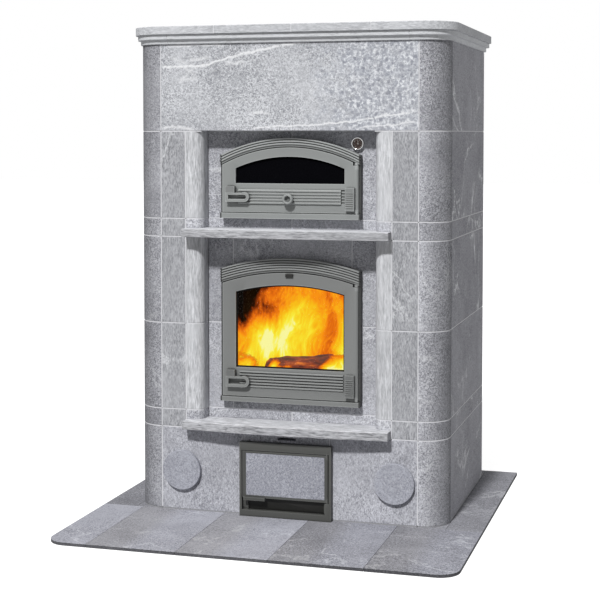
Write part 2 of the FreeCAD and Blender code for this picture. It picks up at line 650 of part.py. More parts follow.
def make_door(kind):
    """A cast frame with an arched band, and its glazed leaf on two pivot pins at the right."""
    low = "floor + %s_sill_low" % kind
    leaf_low = "floor + %s_leaf_low" % kind
    apex = "floor + %s_apex" % kind
    radius = "%s_arch" % kind
    band = "%s_band" % kind
    plate_y = ("plate_front", "recess")
    band_y = ("band_front", "plate_front")
    # frame: back plate with the mouth, ribbed arch band, two rims and a sill
    plate = arch(kind + "_plate", "frame_half", low, apex, radius, plate_y)
    mouth_low = plus(leaf_low, "mouth_inset")
    mouth_apex = minus(apex, plus(band, "band_gap + mouth_inset"))
    mouth_radius = minus(radius, plus(band, "band_gap + mouth_inset"))
    mouth = arch(kind + "_mouth", "frame_mouth", mouth_low, mouth_apex, mouth_radius, plate_y)
    around = "rope_width + rim_width"
    rope_path = (plus("frame_mouth", around), minus(mouth_low, around), plus(mouth_apex, around),
                 plus(mouth_radius, around), ("plate_front", "plate_front + rope_deep"), "rope_width")
    groove = arch_ring(kind + "_groove", *rope_path)
    field = arch(kind + "_field", "frame_half", low, minus(apex, band), minus(radius, band), band_y)
    brow = cut(kind + "_brow", arch(kind + "_brow_plate", "frame_half", low, apex, radius, band_y), field)
    parts = [cut(kind + "_back", plate, mouth, groove), brow]
    for index in range(SIZES["%s_rib_count" % kind]):
        pitch = "%s / (%s_rib_count + rib_rest)" % (band, kind)
        rise = "%d * %s" % (index, pitch)
        wide = "rib_share * %s" % pitch
        rib_y = ("band_front - rib_raise", "band_front")
        name = "%s_brow_rib%d" % (kind, index)
        over = arch(name + "_over", "frame_half", low, minus(apex, rise), minus(radius, rise), rib_y)
        under = arch(name + "_under", "frame_half", low, minus(apex, plus(rise, wide)),
                     minus(radius, plus(rise, wide)), rib_y)
        parts.append(cut(name, over, under))
    for side, sign in SIDES:
        rim_top = "(%s) - (%s) + sqrt((%s) ^ 2 - frame_half ^ 2)" % (apex, radius, radius)
        parts.append(block("%s_rim_%s" % (kind, side), span(sign, "frame_half - rim_width", "frame_half"),
                           ("plate_front - leaf_thick / 2", "plate_front"), (low, minus(rim_top, band))))
    sill_y = ("plate_front - sill_reach", "plate_front")
    sill_z = (low, minus(leaf_low, "sill_gap"))
    parts.append(block(kind + "_sill", ("-frame_half", "frame_half"), sill_y, sill_z))
    frame = join(kind + "_frame_whole", parts)
    # hinge pins stand in the sill and in the arch band
    inner_arch = minus(radius, band)
    barrel_top = "(%s) - (%s) + sqrt((%s) ^ 2 - (hinge_x) ^ 2) - barrel_drop" % (apex, radius, inner_arch)
    low_pin = ("(%s) - sill_gap - pin_grip" % leaf_low, "(%s) + pin_grip" % leaf_low)
    top_pin = ("(%s) - pin_grip" % barrel_top, "(%s) + barrel_drop + pin_grip" % barrel_top)
    spots = ("hinge_x", "hinge_y")
    seats = [rod("%s_seat%d" % (kind, index), "pin_radius + pin_seat", "z", ends, spots)
             for index, ends in enumerate((low_pin, top_pin))]
    node(kind + "_door_frame", cut(kind + "_frame", frame, *seats))
    for index, ends in enumerate((low_pin, top_pin)):
        pins.append(rod("%s_pin%d" % (kind, index), "pin_radius", "z", ends, spots))
    node(kind + "_door_rope", arch_ring(kind + "_rope", *rope_path))
    # leaf: arched plate, hinge barrel, window with a rebate for the glass behind it
    leaf_y = ("leaf_front", "leaf_back")
    leaf_apex = minus(apex, plus(band, "band_gap"))
    leaf_radius = minus(radius, plus(band, "band_gap"))
    sheet_part = arch(kind + "_leaf_sheet", "leaf_right", leaf_low, leaf_apex, leaf_radius, leaf_y)
    wide_x = ("-(leaf_right)", "hinge_x - barrel_length")
    wide = block(kind + "_leaf_wide", wide_x, leaf_y, (leaf_low, leaf_apex))
    neck = block(kind + "_leaf_neck", ("hinge_x - barrel_length", "hinge_x"), leaf_y, (leaf_low, barrel_top))
    barrel = rod(kind + "_barrel", "leaf_thick / 2", "z", (leaf_low, barrel_top), spots)
    leaf = common(kind + "_leaf_plan", sheet_part, join(kind + "_leaf_runs", [wide, neck, barrel]))
    window_low = "floor + %s_window_low" % kind
    window_apex = minus(leaf_apex, "%s_head" % kind)
    window_radius = minus(leaf_radius, "%s_head" % kind)
    window = arch(kind + "_window", "window_half", window_low, window_apex, window_radius, leaf_y)
    back_of_lip = "leaf_front + glass_lip"

    def rebate(name, y, shrink="0"):
        grow = minus("glass_rebate", shrink)
        return arch(name, plus("window_half", grow), minus(window_low, grow), plus(window_apex, grow),
                    plus(window_radius, grow), y)

    seat = rebate(kind + "_glass_seat", (back_of_lip, "leaf_back"))
    sockets = [rod("%s_socket%d" % (kind, index), "pin_radius + pin_fit", "z", ends, spots)
               for index, ends in enumerate((low_pin, top_pin))]
    hub_z = "floor + %s_hub_low + hub_tall / 2" % kind
    hub_x = "-hub_left + hub_width / 2"
    bore = rod(kind + "_spindle_bore", "spindle_radius + spindle_fit", "y", leaf_y, (hub_x, hub_z))
    block_x = ("hinge_x - hinge_block_wide - pin_radius", "hinge_x - pin_radius")
    hinge_block = block(kind + "_hinge_block", block_x, ("leaf_front - hinge_block_deep", "leaf_front"),
                        ("floor + %s_block_low" % kind, "floor + %s_block_high" % kind))
    extras = [hinge_block]
    cuts = [window, seat, bore] + sockets
    if kind == "fire":
        for index in range(SIZES["fire_rib_count"]):
            rib_low = "floor + fire_rib_low + %d * fire_rib_pitch" % index
            rib_x = ("-(frame_half - fire_rib_left)", "frame_half - fire_rib_right")
            rib_z = (rib_low, plus(rib_low, "fire_rib_wide"))
            rib_y = ("leaf_front - rib_raise", "leaf_front")
            extras.append(block("fire_panel_rib%d" % index, rib_x, rib_y, rib_z))
    else:
        tray = block("oven_tray", ("-slide_half - slide_play", "slide_half + comb_length + slide_play"),
                     ("leaf_front", "leaf_front + slide_deep"),
                     ("floor + slide_low - slide_play", "floor + slide_high + slide_play"))
        cuts.append(tray)
    leaf_cut = cut(kind + "_leaf_cut", leaf, *cuts)
    if kind == "oven":
        for index in range(COMB_TEETH):
            rib_low = "floor + slide_low + %d * comb_pitch" % index
            extras.append(block("oven_comb%d" % index, ("slide_half", "slide_half + comb_length"),
                                ("leaf_front + slide_deep - comb_raise", "leaf_front + slide_deep"),
                                (rib_low, plus(rib_low, "comb_wide"))))
    node(kind + "_door_leaf", join(kind + "_leaf_whole", [leaf_cut] + extras))
    if kind == "fire":
        catch_y = ("leaf_front - catch_deep", "leaf_front")
        catch_z = (minus(leaf_apex, "catch_tall + band_gap"), minus(leaf_apex, "band_gap"))
        node("fire_door_catch", block("catch", ("-catch_half", "catch_half"), catch_y, catch_z))
    # glass on its rope, held by a thin steel ring
    rope_y = (back_of_lip, plus(back_of_lip, "glass_rope"))
    glass_y = (rope_y[1], plus(rope_y[1], "glass_thick"))
    hold_y = (glass_y[1], plus(glass_y[1], "retainer_thick"))
    play = "leaf_gap"
    node(kind + "_glass", rebate(kind + "_glass_sheet", glass_y, play))
    node(kind + "_glass_rope", cut(kind + "_glass_rope_ring", rebate(kind + "_rope_sheet", rope_y, play),
                                   arch(kind + "_rope_hole", "window_half", window_low, window_apex,
                                        window_radius, past(rope_y))))
    node(kind + "_glass_retainer", cut(
        kind + "_retainer_ring", rebate(kind + "_retainer_sheet", hold_y, play),
        rebate(kind + "_retainer_hole", past(hold_y), "retainer_width")))
    make_handle(kind, hub_x, hub_z)


def make_handle(kind, hub_x, hub_z):
    """A loop handle hung from a square hub, on a spindle with the latch tongue behind the leaf."""
    hub_y = ("leaf_front - hub_gap - hub_deep", "leaf_front - hub_gap")
    x = ("-hub_left", "-hub_left + hub_width")
    z = ("floor + %s_hub_low" % kind, "floor + %s_hub_low + hub_tall" % kind)
    hub = block(kind + "_hub", x, hub_y, z)
    tall = "%s_loop_tall" % kind
    loop_y = "leaf_front - hub_gap - hub_deep / 2 - loop_rod"
    top_z = minus(z[0], "loop_rod / 2")
    low_z = minus(z[0], minus(tall, "loop_rod"))
    loop_high = plus(top_z, "loop_rod")
    loop_low = minus(low_z, "loop_rod")
    loop_span = (minus(loop_y, "loop_rod"), plus(loop_y, "loop_rod"))
    bend = "((%s) - (%s)) / 2" % (loop_high, loop_low)
    bend_x = "-hub_left + loop_length - (%s)" % bend
    middle_z = "((%s) + (%s)) / 2" % (loop_high, loop_low)
    inner = minus(bend, "2 * loop_rod")
    outer_bar = block(kind + "_loop_bar", ("-hub_left", bend_x), loop_span, (loop_low, z[0]))
    outer_end = rod(kind + "_loop_end", bend, "y", loop_span, (bend_x, middle_z))
    hollow_bar = block(kind + "_loop_hollow", ("-hub_left + 2 * loop_rod", bend_x), past(loop_span),
                       (minus(middle_z, inner), plus(middle_z, inner)))
    hollow_end = rod(kind + "_loop_hollow_end", inner, "y", past(loop_span), (bend_x, middle_z))
    loop = cut(kind + "_loop", join(kind + "_loop_whole", [outer_bar, outer_end]), hollow_bar, hollow_end)
    spindle_y = (hub_y[1], "plate_front + tongue_thick")
    spindle = rod(kind + "_spindle", "spindle_radius", "y", spindle_y, (hub_x, hub_z))
    node(kind + "_door_handle", join(kind + "_handle_whole", [hub, loop, spindle]))
    tongue_y = ("plate_front", "plate_front + tongue_thick")
    tongue_x = (minus(hub_x, "tongue_tail"), plus(hub_x, "tongue_length"))
    tongue_z = (minus(hub_z, "tongue_wide / 2"), plus(hub_z, "tongue_wide / 2"))
    plate = block(kind + "_tongue_plate", tongue_x, tongue_y, tongue_z)
    eye = rod(kind + "_tongue_eye", "spindle_radius + pin_seat", "y", tongue_y, (hub_x, hub_z))
    node(kind + "_latch_tongue", cut(kind + "_tongue_cut", plate, eye))


def make_air_slide():
    """The ribbed oven air slide, and its turned knob with a dimple."""
    back = "leaf_front + slide_deep - comb_raise - slide_play"
    x = ("-slide_half", "slide_half - slide_play")
    y = (minus(back, "slide_thick"), back)
    rib_y = (minus(y[0], "slide_rib"), y[0])
    plate = block("slide_plate", x, y, ("floor + slide_low", "floor + slide_high"))
    ribs = []
    for index in range(COMB_TEETH):
        rib_low = "floor + slide_low + %d * comb_pitch + comb_wide / 2" % index
        ribs.append(block("slide_rib%d" % index, x, rib_y, (rib_low, plus(rib_low, "comb_wide"))))
    node("oven_air_slide", join("slide_whole", [plate] + ribs))
    turned("oven_air_knob", [
        ("0", "0"), ("knob_neck", "0"), ("knob_neck", "knob_neck_high"), ("knob_radius", "knob_neck_high"),
        ("knob_radius", "knob_height"), ("knob_dimple", "knob_height"), ("0", "knob_height - dimple_deep")],
        ("0", rib_y[0], "floor + (slide_low + slide_high) / 2 - knob_drop"))


def turned(label, points, place, aim="front"):
    """A piece turned from a half profile of (radius, height) points, its axis aimed to the front or back."""
    body = fresh("PartDesign::Body", label)
    sketch = body.newObject("Sketcher::SketchObject", label + "_profile")
    plane = [item for item in body.Origin.OriginFeatures if item.Role == "XZ_Plane"][0]
    sketch.AttachmentSupport = [(plane, "")]
    sketch.MapMode = "FlatFace"
    count = len(points)
    rough = [FreeCAD.Vector(count - abs(index - count / 2), index, 0) for index in range(count)]
    for index in range(count):
        sketch.addGeometry(Part.LineSegment(rough[index], rough[(index + 1) % count]))
    for index in range(count):
        sketch.addConstraint(Sketcher.Constraint("Coincident", index, 2, (index + 1) % count, 1))
    for index, (radius, height) in enumerate(points):
        for axis, text in (("DistanceX", radius), ("DistanceY", height)):
            number = sketch.addConstraint(Sketcher.Constraint(axis, -1, 1, index, 1, 1.0))
            sketch.renameConstraint(number, "%s%d" % (axis, index))
            bind(sketch, "Constraints.%s%d" % (axis, index), text)
    lathe = body.newObject("PartDesign::Revolution", label + "_turned")
    lathe.Profile = sketch
    lathe.ReferenceAxis = (sketch, ["V_Axis"])
    lathe.Angle = 360
    tilt = 90 if aim == "front" else -90
    body.Placement = FreeCAD.Placement(FreeCAD.Vector(), FreeCAD.Rotation(FreeCAD.Vector(1, 0, 0), tilt))
    for axis, text in zip("xyz", place):
        bind(body, "Placement.Base." + axis, text)
    return node(label, body)


def make_thermometer():
    """A round dial thermometer on the stone beside the oven door, with a stem through the stone."""
    z = "floor + gauge_z"
    inside = "gauge_radius - gauge_rim"
    floor_high = "gauge_floor"
    turned("thermometer_case", [
        ("0", "0"), ("gauge_stem", "0"), ("gauge_stem", "panel_thick"), ("gauge_radius", "panel_thick"),
        ("gauge_radius", "panel_thick + gauge_deep"), (inside, "panel_thick + gauge_deep"),
        (inside, plus("panel_thick", floor_high)), ("0", plus("panel_thick", floor_high))],
        ("gauge_x", "panel_back", z))
    dial_y = minus("recess", floor_high)
    disc_y = (minus(dial_y, "dial_thick"), dial_y)
    disc = rod("dial_disc", minus(inside, "gauge_play"), "y", disc_y, ("gauge_x", z))
    pin = rod("dial_pin", "needle_pin", "y", (minus(dial_y, "dial_thick + dial_pin"), dial_y), ("gauge_x", z))
    node("thermometer_dial", join("dial_whole", [disc, pin]))
    needle_back = minus(dial_y, "dial_thick + gauge_play")
    needle_y = (minus(needle_back, "needle_thick"), needle_back)
    hub = rod("needle_boss", "needle_hub", "y", needle_y, ("gauge_x", z))
    arm = block("needle_arm", ("gauge_x - needle_wide / 2", "gauge_x + needle_wide / 2"), needle_y,
                (z, plus(z, "needle_length")))
    eye = rod("needle_eye", "needle_pin + pin_fit", "y", needle_y, ("gauge_x", z))
    node("thermometer_needle", cut("needle_cut", join("needle_whole", [hub, arm]), eye))
    glass_y = ("recess - gauge_deep + gauge_rim", "recess - gauge_deep + gauge_rim + dial_thick")
    node("thermometer_glass", rod("gauge_glass", minus(inside, "gauge_play"), "y", glass_y, ("gauge_x", z)))


def make_ash_door():
    """A steel frame with a low air gap, and a leaf that holds a stone inlay, on two pins at the right."""
    low = "floor"
    top = "floor + ash_top"
    leaf_low = "floor + ash_leaf_low"
    plate_y = ("ash_plate_front", "front")
    rim_y = ("ash_front", "ash_plate_front")
    leaf_y = ("ash_leaf_front", "ash_leaf_back")
    spots = ("ash_hinge_x", "ash_hinge_y")
    wide = ("-ash_half", "ash_half")
    mouth_z = ("floor + ash_sill", "ash_leaf_top - ash_stile")
    plate = cut("ash_plate_cut", block("ash_plate_sheet", wide, plate_y, (low, top)),
                block("ash_mouth", ("-ash_open", "ash_open"), plate_y, mouth_z))
    parts = [plate, block("ash_head_bar", wide, rim_y, ("floor + ash_top - ash_head", top)),
             block("ash_sill_bar", wide, rim_y, (low, "floor + ash_sill"))]
    for side, sign in SIDES:
        rim_x = span(sign, "ash_half - ash_rim", "ash_half")
        parts.append(block("ash_rim_%s" % side, rim_x, rim_y, (low, top)))
    bracket = block("ash_bracket", ("ash_hinge_x - ash_stile / 2", "ash_half - ash_rim"), rim_y,
                    ("floor + ash_sill", minus(leaf_low, "sill_gap")))
    low_pin = (minus(leaf_low, "sill_gap + pin_grip"), plus(leaf_low, "pin_grip"))
    top_pin = ("ash_leaf_top - pin_grip", "ash_leaf_top + sill_gap + pin_grip")
    seats = []
    sockets = []
    for index, ends in enumerate((low_pin, top_pin)):
        seats.append(rod("ash_seat%d" % index, "ash_pin + pin_seat", "z", ends, spots))
        sockets.append(rod("ash_socket%d" % index, "ash_pin + pin_fit", "z", ends, spots))
        pins.append(rod("ash_pin%d" % index, "ash_pin", "z", ends, spots))
    node("ash_door_frame", cut("ash_frame_cut", join("ash_frame_whole", parts + [bracket]), *seats))
    leaf_z = (leaf_low, "ash_leaf_top")
    sheet_part = block("ash_leaf_sheet", ("-(ash_leaf_right)", "ash_hinge_x"), leaf_y, leaf_z)
    barrel = rod("ash_barrel", "ash_leaf_thick / 2", "z", leaf_z, spots)
    tab = block("ash_tab", ("-(ash_leaf_right) + ash_rail", "-(ash_leaf_right) + ash_rail + ash_tab_long"),
                ("ash_leaf_front - ash_tab_reach", "ash_leaf_front"),
                (minus(leaf_low, "ash_tab_thick"), plus(leaf_low, "ash_rail / 2")))
    inlay_x = ("-(ash_leaf_right) + ash_stile", "ash_leaf_right - ash_stile")
    inlay_y = ("ash_leaf_front", "ash_leaf_back - ash_skin")
    inlay_z = (plus(leaf_low, "ash_rail"), "ash_leaf_top - ash_rail")
    pocket = block("ash_pocket", inlay_x, inlay_y, inlay_z)
    whole = join("ash_leaf_whole", [sheet_part, barrel, tab])
    node("ash_door_leaf", cut("ash_leaf_cut", whole, pocket, *sockets))
    node("ash_door_inlay", block("ash_inlay", inlay_x, inlay_y, inlay_z))
    baffle_y = ("ash_plate_front + ash_baffle_back", "ash_plate_front + ash_baffle_back + ash_baffle")
    baffle_z = ("floor + ash_sill", plus(leaf_low, "ash_rail"))
    baffle = block("ash_baffle_sheet", ("-ash_open", "ash_open"), baffle_y, baffle_z)
    screw = rod("ash_screw", "ash_pin", "y", (minus(baffle_y[0], "ash_baffle"), baffle_y[0]),
                ("0", minus(leaf_low, "ash_stile")))
    node("ash_air_baffle", join("ash_baffle_whole", [baffle, screw]))
    pan_x = ("-pan_half", "pan_half")
    pan_y = ("front + pan_play", "front + pan_play + pan_deep")
    pan_z = ("floor", "floor + pan_high")
    hollow = block("pan_hollow", ("-pan_half + pan_wall", "pan_half - pan_wall"),
                   (plus(pan_y[0], "pan_wall"), minus(pan_y[1], "pan_wall")), ("floor + pan_wall", pan_z[1]))
    node("ash_pan", cut("pan_cut", block("pan_block", pan_x, pan_y, pan_z), hollow))


def make_soot_plugs():
    """Round stone plugs that close the lower ends of the side flues."""
    for side, sign in SIDES:
        turned("soot_plug_%s" % side, [
            ("0", "0"), ("plug_neck", "0"), ("plug_neck", "shell_front"), ("plug_radius", "shell_front"),
            ("plug_radius", "shell_front + plug_head"), ("0", "shell_front + plug_head")],
            ("%d * (plug_x)" % sign, "front + shell_front", "floor + plug_z"))


def make_core():
    """Firebox and oven stones inside the shell, leaving side flues, a rear flue and a smoke chamber."""
    wall_z = {"ash": ("floor", "floor + ash_high"), "fire": ("fire_floor", "floor + oven_floor_low"),
              "oven": ("oven_floor", "floor + vault_low")}
    walls = []
    for side, sign in SIDES:
        ash_x = span(sign, "core_x - ash_wall", "core_x")
        cheek_y = ("front + shell_front", "panel_back")
        walls.append(block("ash_cheek_%s" % side, ash_x, cheek_y, ("floor", "row6")))
        walls.append(block("ash_wall_%s" % side, ash_x, ("panel_back", "core_back"), wall_z["ash"]))
        for level in ("fire", "oven"):
            walls.append(block("%s_wall_%s" % (level, side), span(sign, "fire_half", "core_x"),
                               ("panel_back", "core_back"), wall_z[level]))
    walls.append(block("ash_wall_back", ("-(core_x) + ash_wall", "core_x - ash_wall"),
                       ("fire_back", "core_back"), wall_z["ash"]))
    walls.append(block("fire_wall_back", ("-fire_half", "fire_half"), ("fire_back", "core_back"),
                       ("fire_floor", "floor + vault_low + vault_thick")))
    group("core_walls", walls)
    floor_z = ("floor + ash_high", "fire_floor")
    slab_x = ("-(core_x)", "core_x")
    slab_y = ("panel_back", "core_back")
    slab = block("fire_slab", slab_x, slab_y, floor_z)
    grate_y = ("panel_back + core_wall", "panel_back + core_wall + grate_deep")
    grate_x = ("-grate_half", "grate_half")
    grate_z = ("fire_floor - grate_thick", "fire_floor")
    seat = block("grate_seat", grate_x, grate_y, grate_z)
    drop = block("grate_drop", ("-grate_half + grate_lip", "grate_half - grate_lip"),
                 (plus(grate_y[0], "grate_lip"), minus(grate_y[1], "grate_lip")), floor_z)
    node("firebox_floor", cut("fire_slab_cut", slab, seat, drop))
    bar = "(grate_deep - 2 * grate_lip) / (2 * %d + 1)" % GRATE_SLOTS
    plate = block("grate_plate", grate_x, grate_y, grate_z)
    slot_x = ("-grate_half + 2 * grate_lip", "grate_half - 2 * grate_lip")
    slots = []
    for index in range(GRATE_SLOTS):
        slot_low = "(%s) + grate_lip + (%s) * %d" % (grate_y[0], bar, 2 * index + 1)
        slots.append(block("grate_slot%d" % index, slot_x, (slot_low, plus(slot_low, bar)), grate_z))
    node("fire_grate", cut("grate_cut", plate, *slots))
    oven_z = ("floor + oven_floor_low", "oven_floor")
    vault_z = ("floor + vault_low", "floor + vault_low + vault_thick")
    rear = (("-fire_half", "fire_half"), ("fire_back - throat", "core_back"))
    node("oven_floor_stone", cut("oven_floor_cut", block("oven_floor_slab", slab_x, slab_y, oven_z),
                                 block("oven_throat", *rear, oven_z)))
    radius = "(fire_half ^ 2 + vault_rise ^ 2) / (2 * vault_rise)"
    scoop = rod("vault_scoop", radius, "y", slab_y, ("0", "floor + vault_low + vault_rise - (%s)" % radius))
    node("oven_vault", cut("vault_cut", block("vault_slab", slab_x, slab_y, vault_z), scoop,
                           block("vault_throat", *rear, vault_z)))
    tube_out = "flue_radius + flue_wall"
    start = "shell_back"
    turned("flue_collar", [
        ("flue_radius", "0"), (tube_out, "0"), (tube_out, start), (plus(tube_out, "flue_flange"), start),
        (plus(tube_out, "flue_flange"), plus(start, "flue_wall")), (tube_out, plus(start, "flue_wall")),
        (tube_out, plus(start, "flue_reach")), ("flue_radius", plus(start, "flue_reach"))],
        ("0", "inner_back", "floor + flue_z"), "back")


make_hearth()
make_shell()
make_recess()
make_shelves()
make_base()
make_cornice()
make_door("fire")
make_door("oven")
make_air_slide()
make_thermometer()
make_ash_door()
make_soot_plugs()
make_core()
group("hinge_pins", pins)
group("mortar_joints", beds + uprights)
doc.recompute()

for thing in doc.Objects:
    if "Invalid" in thing.State or "Error" in thing.State:
        raise RuntimeError("failed: " + thing.Name)
for name, thing in NODES.items():
    if thing.Shape.isNull() or not thing.Shape.isValid():
        raise RuntimeError("bad shape: " + name)

os.makedirs("parts", exist_ok=True)
for name, thing in NODES.items():
    thing.Shape.exportStep("parts/%s.step" % name)
print(len(NODES), "nodes written")
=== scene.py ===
import json
import math
import random

import bmesh
import bpy
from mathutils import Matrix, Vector, noise

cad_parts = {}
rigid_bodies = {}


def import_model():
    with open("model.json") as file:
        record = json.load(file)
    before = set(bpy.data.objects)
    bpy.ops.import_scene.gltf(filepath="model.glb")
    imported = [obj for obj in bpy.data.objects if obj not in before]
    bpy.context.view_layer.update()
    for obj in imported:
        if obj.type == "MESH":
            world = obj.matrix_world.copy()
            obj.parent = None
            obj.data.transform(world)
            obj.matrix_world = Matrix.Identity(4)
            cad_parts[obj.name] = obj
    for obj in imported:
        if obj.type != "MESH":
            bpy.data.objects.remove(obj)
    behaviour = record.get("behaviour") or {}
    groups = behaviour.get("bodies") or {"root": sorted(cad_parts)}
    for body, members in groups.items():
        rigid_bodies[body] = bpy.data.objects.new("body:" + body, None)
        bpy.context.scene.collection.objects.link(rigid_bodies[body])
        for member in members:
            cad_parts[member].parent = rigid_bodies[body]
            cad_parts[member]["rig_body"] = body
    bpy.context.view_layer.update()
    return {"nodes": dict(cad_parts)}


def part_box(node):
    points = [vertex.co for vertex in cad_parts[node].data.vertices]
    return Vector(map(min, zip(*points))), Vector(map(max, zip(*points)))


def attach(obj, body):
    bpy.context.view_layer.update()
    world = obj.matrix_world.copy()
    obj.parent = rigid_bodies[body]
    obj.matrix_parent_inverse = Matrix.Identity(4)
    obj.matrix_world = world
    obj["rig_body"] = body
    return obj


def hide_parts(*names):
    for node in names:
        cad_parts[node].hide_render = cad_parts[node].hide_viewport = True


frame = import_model()
NODES = frame["nodes"]
ROOT = "stove"

# places in metres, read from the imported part
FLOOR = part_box("hearth_base_plate")[1][2]
TILES_LOW, TILES_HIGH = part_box("hearth_front_tiles")
LINTEL_LOW, LINTEL_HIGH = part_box("lintel_stone")
CORNER_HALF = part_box("corner_stones")[1][0]
FRAME_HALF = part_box("fire_door_frame")[1][0]
FIRE_LOW, FIRE_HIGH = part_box("fire_glass")
DIAL_LOW, DIAL_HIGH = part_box("thermometer_dial")
KNOB_LOW, KNOB_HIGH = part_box("oven_air_knob")

# rounded edges, in metres
STONE_EDGE = 0.0014
TILE_EDGE = 0.0008
CAST_EDGE = 0.0007
SHEET_EDGE = 0.0006
CATCH_EDGE = 0.001
CASE_EDGE = 0.0003

# width of the hearth's front field in tiles, and the first seam right of the middle as a share of a tile
TILE_COLUMNS = 4.412
TILE_START = 0.272

# the window of the fire door, in metres: the glass is wider by the lip, and the leaf stands before it
WINDOW_HALF = 0.173
WINDOW_RADIUS = 0.633
WINDOW_LIP = 0.0077
WINDOW_LOW = FIRE_LOW[2] + WINDOW_LIP
WINDOW_APEX = FIRE_HIGH[2] - WINDOW_LIP
LEAF_FRONT = FIRE_LOW[1] - 0.008


# shader helpers

def add(tree, kind, **values):
    """A node, with properties by name and inputs by socket name."""
    made = tree.nodes.new(kind)
    for key, value in values.items():
        if hasattr(made, key):
            setattr(made, key, value)
        else:
            made.inputs[key].default_value = value
    return made


def link(tree, source, target):
    tree.links.new(source, target)


def feed(tree, socket, value):
    """Link a socket to another node's output, or give it a constant."""
    if hasattr(value, "is_output"):
        link(tree, value, socket)
    else:
        socket.default_value = value


def math_node(tree, operation, first, second=None, third=None, clamp=False):
    made = add(tree, "ShaderNodeMath", operation=operation, use_clamp=clamp)
    for socket, value in zip(made.inputs, (first, second, third)):
        if value is not None:
            feed(tree, socket, value)
    return made.outputs[0]


def mix_colour(tree, factor, first, second, blend="MIX"):
    made = add(tree, "ShaderNodeMix", data_type="RGBA", blend_type=blend)
    for index, value in ((0, factor), (6, first), (7, second)):
        feed(tree, made.inputs[index], value)
    return made.outputs[2]


def ramp(tree, source, *stops):
    """A colour ramp over a value, from (place, colour) stops in rising order."""
    made = tree.nodes.new("ShaderNodeValToRGB")
    elements = made.color_ramp.elements
    elements.remove(elements[1])
    elements[0].position = stops[0][0]
    elements[0].color = opaque(stops[0][1])
    for place, colour in stops[1:]:
        elements.new(place).color = opaque(colour)
    link(tree, source, made.inputs[0])
    return made.outputs[0]


def opaque(colour):
    return colour if len(colour) == 4 else (*colour, 1)


def grey(value):
    return (value, value, value, 1)


def mottle(tree, vector, scale, detail, rough=0.5, **more):
    """A noise texture on a vector."""
    made = add(tree, "ShaderNodeTexNoise", Scale=scale, Detail=detail, Roughness=rough, **more)
    link(tree, vector, made.inputs["Vector"])
    return made


def scaled(tree, vector, factors):
    made = add(tree, "ShaderNodeVectorMath", operation="MULTIPLY")
    link(tree, vector, made.inputs[0])
    feed(tree, made.inputs[1], factors)
    return made.outputs[0]


def pushed(tree, vector, texture, reach):
    """A vector that a texture's colour moves about."""
    made = add(tree, "ShaderNodeVectorMath", operation="MULTIPLY_ADD")
    link(tree, texture.outputs["Color"], made.inputs[0])
    made.inputs[1].default_value = (reach, reach, reach)
    link(tree, vector, made.inputs[2])
    return made.outputs[0]


def axes(tree):
    """Object coordinates, whole and split along X, Y and Z."""
    place = tree.nodes.new("ShaderNodeTexCoord").outputs["Object"]
    split = tree.nodes.new("ShaderNodeSeparateXYZ")
    link(tree, place, split.inputs[0])
    return place, split.outputs


def make_group(name, inputs, outputs):
    """An empty shader group with its named sockets, and the two ends of it."""
    tree = bpy.data.node_groups.new(name, "ShaderNodeTree")
    for label, kind, value in inputs:
        socket = tree.interface.new_socket(label, in_out="INPUT", socket_type=kind)
        if value is not None:
            socket.default_value = value
    for label, kind in outputs:
        tree.interface.new_socket(label, in_out="OUTPUT", socket_type=kind)
    start = tree.nodes.new("NodeGroupInput")
    end = tree.nodes.new("NodeGroupOutput")
    return tree, start.outputs, end.inputs


def new_material(name):
    made = bpy.data.materials.new(name)
    made.use_nodes = True
    return made, made.node_tree, made.node_tree.nodes["Principled BSDF"]


def set_sockets(node, values):
    for label, value in values.items():
        node.inputs[label].default_value = value


def place_group(tree, group, vector, values):
    """A shared effect in a material, on a vector and with the material's own values."""
    made = tree.nodes.new("ShaderNodeGroup")
    made.node_tree = group
    link(tree, vector, made.inputs["Vector"])
    set_sockets(made, values)
    return made


def bump(tree, shader, height, strength, distance=0.001):
    made = add(tree, "ShaderNodeBump", Strength=strength, Distance=distance)
    link(tree, height, made.inputs["Height"])
    link(tree, made.outputs[0], shader.inputs["Normal"])


def tint(made, shade):
    """Multiply the colour of a material by a shade."""
    tree = made.node_tree
    socket = tree.nodes["Principled BSDF"].inputs["Base Color"]
    colour = socket.links[0].from_socket
    link(tree, mix_colour(tree, 1.0, colour, shade, "MULTIPLY"), socket)


# stone finishes

